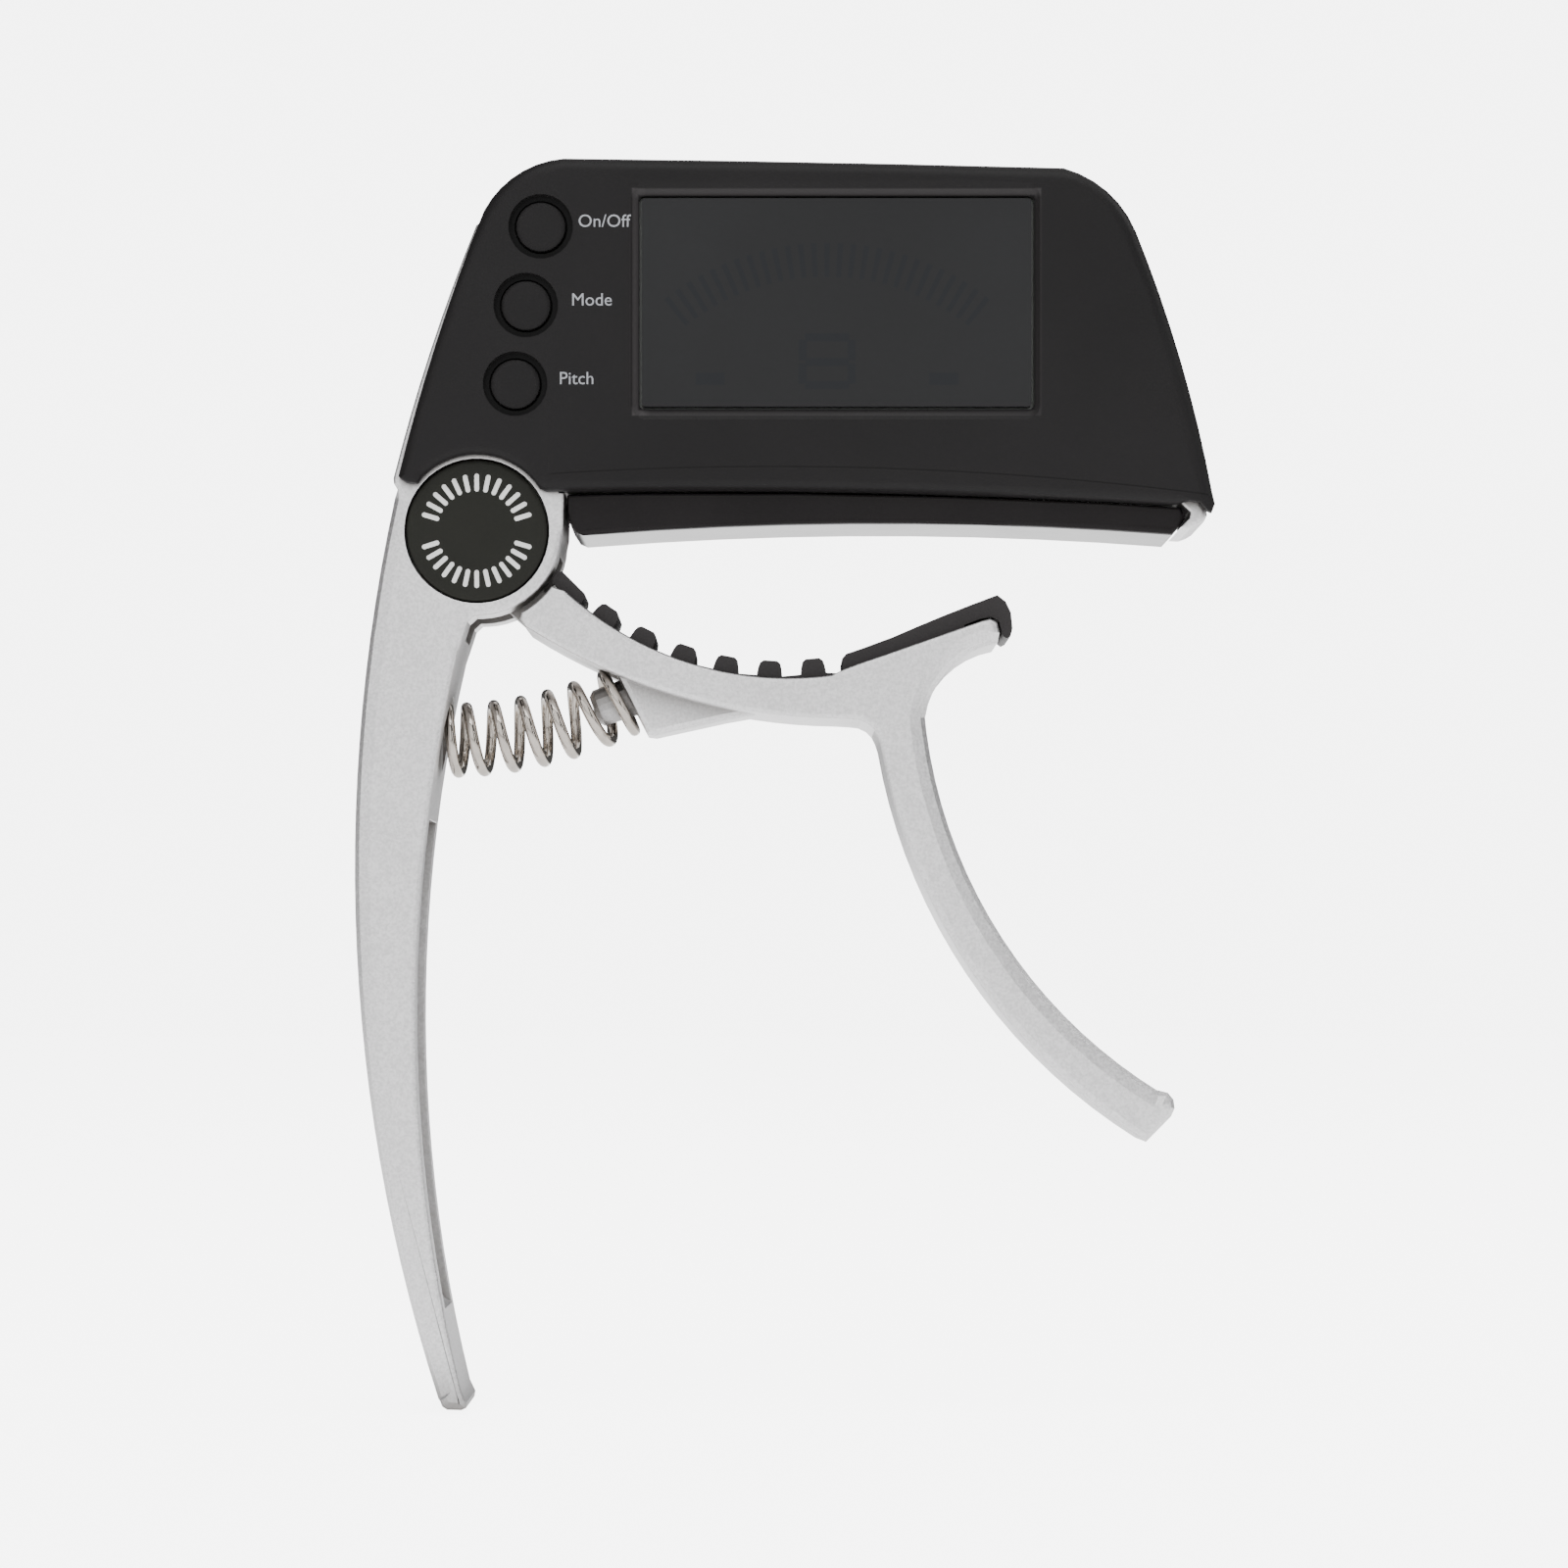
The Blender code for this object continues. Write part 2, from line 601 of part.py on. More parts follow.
def moving_pad_outline():
    """A strip let into the arm, with teeth along it and a long pad that hooks over the arm's end."""
    strip_floor = arm_arc(-43.5, 32.6, CHANNEL_FLOOR_R - 0.25, 20)
    over_arm = [(46.05, -8.78), (47.6, -8.2), (48.6, -8.0), (49.35, -8.35), (49.65, -9.6)]
    hook = [(49.72, -9.8), (50.05, -10.05), (50.45, -9.85), (50.65, -9.1), (50.5, -7.6), (50.0, -6.55)]
    long_pad = arc((49.2, -5.93), (44.4, -7.77), (39.3, -9.92), 4)
    pad_end = [(36.3, -11.03), (34.9, -11.5), (34.5, -11.95), arm_point(9.6, 31.0)]
    outline = strip_floor + over_arm + hook + long_pad + pad_end
    for k in reversed(range(TEETH)):
        outline += tooth(k)
    end_bar = [arm_point(-39.4, 31.0), arm_point(-39.5, 30.4), arm_point(-40.0, 30.0), arm_point(-45.6, 29.9),
               arm_point(-46.3, 30.3), arm_point(-46.2, 30.9), arm_point(-45.2, 31.3), arm_point(-43.9, 31.5)]
    return joined((outline + end_bar, 0.0))


def make_moving_pad():
    outline = [p[:2] for p in moving_pad_outline()]
    make("moving_jaw_pad", "jaw_rubber", slab(outline, -GRIP_HALF, GRIP_HALF))


# ---------------------------------------------------------------- head shells


def head_right(inward=0.0):
    """The head's right side, from low to high."""
    return arc((69.4 - inward, 3.6), (66.5 - inward, 15.8), (62.2 - inward, 28.2), 8)


def head_top(inward=0.0):
    """Round the right corner and along the top to the left corner."""
    corner = arc((62.2 - inward, 28.2), (59.5 - inward * 0.7, 32.0 - inward * 0.7), (55.4, 34.2 - inward), 6)
    return corner + arc((55.4, 34.2 - inward), (31.8, 34.75 - inward), (8.2, 35.1 - inward), 3)


def front_shell_outline():
    foot = [(-7.1, 4.8), (-6.5, 4.45), (-5.5, 4.4)]
    hub_side = swing((0, 0), 7.15, 136, 33, 16)
    lower = arc((6.6, 3.66), (30.0, 3.76), (66.0, 2.45), 10)
    corner = [(67.2, 2.75), (68.2, 2.6), (68.85, 1.8), (69.25, 1.6), (69.55, 2.4)]
    left_corner = arc((8.2, 35.1), (3.0, 33.0), (0.7, 30.2), 7)
    left = arc((0.7, 30.2), (-3.85, 17.5), (-7.35, 5.1), 8)
    return joined(
        (foot, 0.3),
        (hub_side, 0.8),
        (lower, 1.0),
        (corner, 0.15),
        (head_right(), 1.3),
        (head_top(), 1.3),
        (left_corner, 1.3),
        (left, 0.9),
    )


def cavity_outline():
    left_corner = arc((8.4, 33.9), (5.2, 32.3), (wall_x(30.0, 2.4), 30.0), 4)
    left = wall_line(30.0, 10.4, 2.4, 6)
    foot = [(-3.8, 9.9), (2.0, 9.9), (9.2, 7.5), (67.3, 7.5)]
    right = arc((67.2, 8.5), (65.3, 15.8), (61.0, 27.9), 5)
    corner = arc((61.0, 27.9), (58.7, 31.1), (55.0, 33.0), 4)
    return foot + right + corner + left_corner + left


def make_front_shell():
    skin = slab(front_shell_outline(), HEAD_FRONT, -PARTING, steps=3, flat_back=True)
    shell = make("front_shell", "black_shell", skin)
    top = WALL_END + CLEAR
    beside_wall = wall_line(3.0, top, WALL_THICK + CLEAR, 6) + [(-12.0, top), (-12.0, 2.0)]
    cut(shell, "wall_seat", slab(beside_wall, LIP_BACK, 1.0))
    cut(shell, "hub_seat", disc((0, 0), LIP_BACK, 1.0, HUB_R + 0.35, steps=40))
    cut(shell, "bar_seat", block(4.0, 71.0, BAR_FRONT - CLEAR, 1.0, 0.0, BAR_TOP + CLEAR))
    cut(shell, "tab_seat", block(3.0, 7.9, LIP_BACK, 1.0, 0.0, BAR_TOP + CLEAR))
    cut(shell, "nose_seat", block(65.7, 71.0, LIP_BACK, 1.0, 0.0, 3.95))
    cut(shell, "cavity", slab(cavity_outline(), FACE_INSIDE, 1.0))
    bosses = [disc(c, FACE_INSIDE - 0.4, -PARTING, 1.8, steps=16) for c in CASE_SCREWS]
    posts = [disc(c, FACE_INSIDE - 0.4, BOARD_FRONT - CLEAR, 1.3, steps=14) for c in BOARD_SCREWS]
    add(shell, "bosses", *bosses, *posts)
    boss_holes = [disc(c, -4.6, 1.0, 0.95, steps=12) for c in CASE_SCREWS]
    post_holes = [disc(c, -6.0, 1.0, 0.6, steps=10) for c in BOARD_SCREWS]
    cut(shell, "screw_holes", *boss_holes, *post_holes)
    x0, x1, z0, z1 = WINDOW
    cut(shell, "window", slab(rounded_rectangle(x0 - 0.25, x1 + 0.25, z0 - 0.25, z1 + 0.25, 0.5), -9.5, -6.0))
    cut(shell, "window_frame", bevelled_pocket())
    wells = []
    for x, z in BUTTONS.values():
        well = [(-9.5, 3.05), (-7.7, 3.05), (-7.7, 2.5), (-6.0, 2.5)]
        wells.append(turned((x, 0, z), well, 24))
    cut(shell, "button_wells", *wells)
    return shell


def bevelled_pocket():
    """The sloping frame round the window, wide at the face and narrow at the lens."""
    x0, x1, z0, z1 = WINDOW
    outer = rounded_rectangle(x0 - 1.0, x1 + 0.8, z0 - 1.25, z1 + 1.35, 1.3)
    inner = rounded_rectangle(x0 - 0.3, x1 + 0.3, z0 - 0.3, z1 + 0.3, 0.6)
    rings = [[(x, HEAD_FRONT - 0.4, z) for x, z in outer]]
    rings.append([(x, HEAD_FRONT, z) for x, z in outer])
    rings.append([(x, HEAD_FRONT + 0.7, z) for x, z in inner])
    return stitched(rings, True)


def rear_shell_outline():
    foot = [(wall_x(8.8, 1.6), 8.8), (4.2, 8.8), (6.2, BAR_TOP + 0.3), (68.7, BAR_TOP + 0.3)]
    right = head_right()[2:]
    left_corner = arc((8.2, 35.1), (3.0, 33.0), (1.35, 31.0), 4)
    left = wall_line(WALL_END - 0.1, 11.0, WALL_THICK + CLEAR, 5)
    return joined((foot, 0.4), (right, 1.2), (head_top(), 1.2), (left_corner, 1.2), (left, 0.6))


def make_rear_shell():
    outline = rear_shell_outline()
    shell = make("rear_shell", "black_shell", slab(outline, PARTING, HEAD_BACK, steps=2, flat_front=True))
    points = [p[:2] for p in outline]
    cut(shell, "cavity", slab(inset(points, [SHELL_WALL] * len(points)), -1.0, BACK_INSIDE))
    add(shell, "columns", *(disc(c, PARTING, HEAD_BACK - 0.6, 2.3, steps=16) for c in CASE_SCREWS))
    cut(shell, "ear_slots", block(6.3, 13.3, -1.0, 2.0, 5.0, 14.5), block(50.2, 66.5, -1.0, 2.0, 5.0, 14.3))
    cut(shell, "screw_holes", *(disc(c, -1.0, 9.0, 1.0, steps=14) for c in CASE_SCREWS))
    cut(shell, "screw_wells", *(disc(c, 6.5, 9.0, 1.75, steps=16) for c in CASE_SCREWS))
    cut(shell, "door_opening", disc(CELL_CENTRE, 6.0, 9.0, DOOR_R + 0.2, steps=48))
    return shell


# ---------------------------------------------------------------- inside the head


def make_display():
    x0, x1, z0, z1 = WINDOW
    make("display_lens", "display_glass", slab(rounded_rectangle(x0, x1, z0, z1, 0.3), -8.1, -7.1))
    make("display_panel", "display_cell", block(x0 - 1.6, x1 + 1.6, -6.7, -5.1, z0 - 1.7, z1 + 1.7))
    make("light_guide", "light_guide_acrylic", block(x0 - 1.1, x1 + 1.1, -4.8, -2.8, z0 - 0.6, z1 + 1.0))
    make("display_connector", "connector_silicone", block(x0 + 0.4, x1 - 0.4, -4.8, -2.8, z0 - 1.6, z0 - 0.9))


def board_outline():
    foot = [(wall_x(10.6, 2.75), 10.6), (1.6, 10.4), (9.5, 8.2), (66.6, 8.2)]
    right = arc((66.5, 9.0), (64.7, 15.8), (60.5, 27.7), 5)
    corner = arc((60.5, 27.7), (58.3, 30.7), (54.9, 32.5), 4)
    left_corner = arc((8.6, 33.4), (5.7, 32.0), (wall_x(30.0, 2.75), 30.0), 4)
    return foot + right + corner + left_corner + wall_line(29.0, 11.5, 2.75, 6)


def make_board():
    board = make("circuit_board", "board_green", slab(board_outline(), BOARD_FRONT, BOARD_BACK))
    boss_holes = [disc(c, -3.5, 0.0, 2.1, steps=16) for c in CASE_SCREWS]
    screw_holes = [disc(c, -3.5, 0.0, 0.85, steps=12) for c in BOARD_SCREWS]
    cut(board, "holes", *boss_holes, *screw_holes)
    on_back = BOARD_BACK + CLEAR
    make("processor", "chip_black", block(17.0, 24.0, on_back, on_back + 1.0, 11.0, 18.0))
    make("crystal", "can_metal", block(27.0, 33.0, on_back, on_back + 1.2, 10.5, 12.5))
    make("capacitor_1", "capacitor_ceramic", block(13.0, 15.0, on_back, on_back + 0.9, 24.0, 25.2))
    make("capacitor_2", "capacitor_ceramic", block(13.0, 15.0, on_back, on_back + 0.9, 27.0, 28.2))
    make("amplifier", "chip_black", block(49.0, 53.0, on_back, on_back + 1.0, 20.0, 24.0))


def make_buttons():
    profile = [(-8.3, 2.0), (-8.1, 2.3), (-7.8, 2.34), (-6.75, 2.34), (-6.75, 2.62), (-6.1, 2.62),
               (-6.1, 1.2), (-5.2, 1.2)]
    for index, (name, (x, z)) in enumerate(BUTTONS.items(), 1):
        make(name, "button_plastic", turned((x, 0, z), profile, 24), origin=(x, HEAD_FRONT, z))
        can = block(x - 1.5, x + 1.5, -4.2, BOARD_FRONT - CLEAR, z - 1.5, z + 1.5)
        key = make(f"switch_{index}", "can_metal", can)
        add(key, "plunger", disc((x, z), -4.75, -3.8, 0.8, steps=12))


def make_power():
    x, z = CELL_CENTRE
    cup = [(1.3, 11.6), (6.6, 11.6), (6.6, 10.35), (2.1, 10.35)]
    cradle = make("battery_cradle", "cradle_plastic", turned((x, 0, z), cup, 36))
    cut(cradle, "contact_notch", block(x - 2.2, x + 2.2, 0.5, 7.5, z + 9.9, z + 12.5))
    can = [(3.3, 8.6), (3.6, CELL_R), (6.3, CELL_R), (6.5, CELL_R - 0.2)]
    make("coin_cell", "cell_steel", turned((x, 0, z), can, 36))
    make("minus_contact", "contact_nickel", turned((x, 0, z), [(2.35, 3.4), (2.6, 3.4), (3.05, 1.4)], 20))
    make("plus_contact", "contact_nickel", block(x - 1.9, x + 1.9, 0.8, 6.3, z + 10.3, z + 10.7))
    door = make(
        "battery_door",
        "black_shell",
        disc(CELL_CENTRE, 6.9, HEAD_BACK + 0.1, DOOR_R, chamfer=0.25, steps=48),
        origin=(x, HEAD_BACK, z),
    )
    cut(door, "coin_slot", block(x - 6.5, x + 6.5, HEAD_BACK - 0.5, HEAD_BACK + 1.0, z - 0.9, z + 0.9))
    on_ear = EAR_BACK + CLEAR
    make("pickup_disc", "pickup_brass", disc(PICKUP_CENTRE, on_ear, on_ear + 0.4, PICKUP_R, steps=28))


def make_screws():
    profile = [(-4.2, 0.75), (6.7, 0.75), (6.7, 1.5), (7.3, 1.5), (7.55, 1.1)]
    for index, (x, z) in enumerate(CASE_SCREWS, 1):
        make(f"case_screw_{index}", "screw_steel", turned((x, 0, z), profile, 14))
    small = [(-5.6, 0.45), (-1.05, 0.45), (-1.05, 1.2), (-0.5, 1.0)]
    for index, (x, z) in enumerate(BOARD_SCREWS, 1):
        make(f"board_screw_{index}", "screw_steel", turned((x, 0, z), small, 12))


def main():
    clear_scene()
    make_fixed_lever()
    make_squeeze_lever()
    make_pivot()
    make_spring()
    make_fixed_pad()
    make_moving_pad()
    make_front_shell()
    make_rear_shell()
    make_display()
    make_board()
    make_buttons()
    make_power()
    make_screws()


main()
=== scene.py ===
"""Finishes, printed marks, spring, screws and studio for a clip-on instrument tuner.

The packed model is the fixed frame. Every size below is in metres in that frame, unless its name
says that it is counted in millimetres from the pivot of the two levers.
"""

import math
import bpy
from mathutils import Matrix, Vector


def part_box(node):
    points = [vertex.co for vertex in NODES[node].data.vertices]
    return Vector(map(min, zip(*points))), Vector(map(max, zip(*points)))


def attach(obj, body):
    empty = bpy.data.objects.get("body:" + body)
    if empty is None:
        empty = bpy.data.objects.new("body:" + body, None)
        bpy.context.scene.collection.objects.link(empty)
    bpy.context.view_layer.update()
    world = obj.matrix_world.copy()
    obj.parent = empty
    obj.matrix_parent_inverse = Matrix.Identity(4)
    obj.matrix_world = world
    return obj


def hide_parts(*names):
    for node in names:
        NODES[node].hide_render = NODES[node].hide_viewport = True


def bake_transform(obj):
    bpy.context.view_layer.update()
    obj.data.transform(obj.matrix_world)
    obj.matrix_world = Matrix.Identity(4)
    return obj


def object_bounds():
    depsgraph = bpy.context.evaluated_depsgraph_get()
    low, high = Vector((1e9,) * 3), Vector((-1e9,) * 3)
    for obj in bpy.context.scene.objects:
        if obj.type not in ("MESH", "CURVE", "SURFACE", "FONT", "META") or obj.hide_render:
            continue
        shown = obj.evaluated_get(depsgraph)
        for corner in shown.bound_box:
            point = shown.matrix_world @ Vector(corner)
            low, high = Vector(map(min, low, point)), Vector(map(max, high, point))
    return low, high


bl_info = {
    "name": "Clip-on tuner finishes",
    "version": (1, 0, 0),
    "blender": (4, 5, 0),
    "location": "3D View > Sidebar > Tuner",
    "description": "Adds the finishes, marks, spring, screws and studio of a clip-on tuner",
    "category": "Object",
}

import bmesh
import bpy
import numpy as np
from bpy.props import FloatProperty, FloatVectorProperty, IntProperty, PointerProperty, StringProperty
from mathutils import Vector

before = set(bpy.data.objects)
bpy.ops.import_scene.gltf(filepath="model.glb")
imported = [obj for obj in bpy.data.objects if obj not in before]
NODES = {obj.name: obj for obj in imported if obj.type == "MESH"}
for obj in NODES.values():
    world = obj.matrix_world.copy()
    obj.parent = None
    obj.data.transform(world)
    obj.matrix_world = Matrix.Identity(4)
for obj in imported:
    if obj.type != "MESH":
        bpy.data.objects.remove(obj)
CAD_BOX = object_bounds()
MM = 0.001
SHARP_ANGLE = math.radians(38)
BUMP_HEIGHT = 0.05 * MM

cap_low, cap_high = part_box("front_cap")
PIVOT = np.array([(cap_low.x + cap_high.x) / 2, 0.0, (cap_low.z + cap_high.z) / 2])
CAP_FACE = cap_low.y
HEAD_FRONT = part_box("front_shell")[0].y
BUTTON_NODES = ("power_button", "mode_button", "pitch_button")


def node_middle(name):
    """Middle of a node's box."""
    low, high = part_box(name)
    return (np.array(low) + np.array(high)) / 2


# ---------------------------------------------------------------- meshes


def grid_faces(rows, columns, closed_columns=True):
    """Quads of a grid of rows by columns, each row joined round to its start when it is closed."""
    last = columns if closed_columns else columns - 1
    r, c = np.meshgrid(np.arange(rows - 1), np.arange(last), indexing="ij")
    n = (c + 1) % columns
    quads = np.stack([r * columns + c, r * columns + n, (r + 1) * columns + n, (r + 1) * columns + c], -1)
    return quads.reshape(-1, 4)


def make_piece(name, points, polygons, finish, body=None, smooth=True):
    """A new object at the origin with its place in its mesh, which rides on a body when one is named."""
    mesh = bpy.data.meshes.new(name)
    corners = np.asarray(points, float).reshape(-1, 3).tolist()
    mesh.from_pydata(corners, [], [list(map(int, polygon)) for polygon in polygons])
    mesh.materials.append(finish)
    if smooth:
        mesh.shade_smooth()
        mesh.set_sharp_from_angle(angle=SHARP_ANGLE)
    piece = bpy.data.objects.new(name, mesh)
    bpy.context.scene.collection.objects.link(piece)
    if body:
        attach(piece, body)
    return piece


def tube_points(line, out, side, radius, sides, end_steps=4):
    """A round tube along a line.

    Each point of the line carries a circle in the plane of its out and side directions, and both ends close
    in a half ball, whose ring at the angle k has the radius times cos(k) and moves on by the radius times
    sin(k). The last ring keeps a small share of the radius, so that its faces have an area.
    """
    along = np.gradient(line, axis=0)
    along /= np.linalg.norm(along, axis=1, keepdims=True)
    turn = np.linspace(0, math.pi / 2, end_steps + 1)[1:]
    count, least_share = len(line), 0.02
    index = np.clip(np.arange(-end_steps, count + end_steps), 0, count - 1)
    scale = np.concatenate([np.cos(turn)[::-1], np.ones(count), np.cos(turn)])
    scale = np.maximum(scale, least_share)
    shift = np.concatenate([-np.sin(turn)[::-1], np.zeros(count), np.sin(turn)]) * radius
    angle = np.arange(sides) * math.tau / sides
    ring = out[index][:, None, :] * np.cos(angle)[None, :, None]
    ring = ring + side[index][:, None, :] * np.sin(angle)[None, :, None]
    middle = line[index][:, None, :] + along[index][:, None, :] * shift[:, None, None]
    points = middle + ring * (scale * radius)[:, None, None]
    rows = len(index)
    faces = grid_faces(rows, sides).tolist()
    faces.append(list(range(sides))[::-1])
    faces.append([(rows - 1) * sides + i for i in range(sides)])
    return points.reshape(-1, 3), faces


def pill_points(middle, along, across, length, width, low, high, around=20):
    """Raised strokes with round ends, one for each row of middle.

    The outline of a stroke is a circle of half its width whose two halves are moved apart along it. Three
    rings go from low to high along Y, the last drawn in a little, and a point closes the top.
    """
    angle = np.arange(around) * math.tau / around
    spread = np.sign(np.cos(angle)) * np.maximum(length - width, 0) / 2
    count = len(middle)
    rings = []
    shoulder, top_share = 0.6, 0.8
    for share, level in ((1.0, low), (1.0, low + (high - low) * shoulder), (top_share, high)):
        u = (spread + np.cos(angle) * width / 2 * share)[None, :, None]
        v = (np.sin(angle) * width / 2 * share)[None, :, None]
        ring = middle[:, None, :] + along[:, None, :] * u + across[:, None, :] * v
        rings.append(ring + np.array([0.0, level, 0.0]))
    top = (middle + np.array([0.0, high, 0.0]))[:, None, :]
    points = np.concatenate([*rings, top], 1)
    size = around * 3 + 1
    k = np.arange(around)
    fan = np.stack([around * 2 + k, around * 2 + (k + 1) % around, np.full(around, size - 1)], -1)
    walls = grid_faces(3, around)
    bottom = k[::-1]
    faces = []
    for i in range(count):
        faces += (walls + i * size).tolist() + (fan + i * size).tolist() + [(bottom + i * size).tolist()]
    return points.reshape(-1, 3), faces


def outward(piece):
    """Turns the faces of a piece outwards, for a shape whose direction depends on its settings."""
    work = bmesh.new()
    work.from_mesh(piece.data)
    bmesh.ops.remove_doubles(work, verts=work.verts, dist=1e-8)
    bmesh.ops.recalc_face_normals(work, faces=work.faces)
    work.to_mesh(piece.data)
    work.free()


def smooth_node(name, split):
    """Even shading on a CAD node, whose triangles are joined, parted at sharp edges and shaded by face area.

    Edges sharper than the split angle, in degrees, stay sharp.
    """
    node = NODES[name]
    polygons = node.data.polygons
    polygons.foreach_set("use_smooth", np.ones(len(polygons), bool))
    weld = node.modifiers.new("join", "WELD")
    weld.merge_threshold = 1e-6
    part = node.modifiers.new("part_sharp_edges", "EDGE_SPLIT")
    part.split_angle = math.radians(split)
    part.use_edge_sharp = False
    even = node.modifiers.new("even_normals", "WEIGHTED_NORMAL")
    even.mode = "FACE_AREA_WITH_ANGLE"
    even.weight = 80


# ---------------------------------------------------------------- shader groups and finishes


def grain_group():
    """A moulded or blasted skin: fine bumps as a normal, and a broad and a fine tone between 0 and 1."""
    found = bpy.data.node_groups.get("skin_grain")
    if found:
        return found
    group = bpy.data.node_groups.new("skin_grain", "ShaderNodeTree")
    inputs = {
        "Grain Scale": 8000.0, "Depth": 0.3, "Tone Scale": 90.0, "Fine Share": 0.4, "Height": 0.0, "Edge": 0.0,
    }
    for name, value in inputs.items():
        socket = group.interface.new_socket(name=name, in_out="INPUT", socket_type="NodeSocketFloat")
        socket.default_value = value
    for name, kind in (("Normal", "NodeSocketVector"), ("Tone", "NodeSocketFloat")):
        group.interface.new_socket(name=name, in_out="OUTPUT", socket_type=kind)
    nodes, links = group.nodes, group.links
    given, made = nodes.new("NodeGroupInput"), nodes.new("NodeGroupOutput")
    place = nodes.new("ShaderNodeTexCoord")
    fine = nodes.new("ShaderNodeTexNoise")
    fine.inputs["Detail"].default_value = 3.0
    fine.inputs["Roughness"].default_value = 0.6
    broad = nodes.new("ShaderNodeTexNoise")
    broad.inputs["Detail"].default_value = 4.0
    broad.inputs["Distortion"].default_value = 0.3
    for texture, scale in ((fine, "Grain Scale"), (broad, "Tone Scale")):
        links.new(place.outputs["Object"], texture.inputs["Vector"])
        links.new(given.outputs[scale], texture.inputs["Scale"])
    grain = nodes.new("ShaderNodeMath")
    grain.operation = "MULTIPLY"
    links.new(fine.outputs["Fac"], grain.inputs[0])
    links.new(given.outputs["Depth"], grain.inputs[1])
    total = nodes.new("ShaderNodeMath")
    total.operation = "ADD"
    links.new(grain.outputs[0], total.inputs[0])
    links.new(given.outputs["Height"], total.inputs[1])
    bump = nodes.new("ShaderNodeBump")
    bump.inputs["Distance"].default_value = BUMP_HEIGHT
    bump.inputs["Strength"].default_value = 0.6
    links.new(total.outputs[0], bump.inputs["Height"])
    edge = nodes.new("ShaderNodeBevel")
    edge.samples = 6
    links.new(given.outputs["Edge"], edge.inputs["Radius"])
    links.new(edge.outputs["Normal"], bump.inputs["Normal"])
    links.new(bump.outputs["Normal"], made.inputs["Normal"])
    tone = nodes.new("ShaderNodeMix")
    links.new(given.outputs["Fine Share"], tone.inputs["Factor"])
    links.new(broad.outputs["Fac"], tone.inputs["A"])
    links.new(fine.outputs["Fac"], tone.inputs["B"])
    links.new(tone.outputs["Result"], made.inputs["Tone"])
    return group


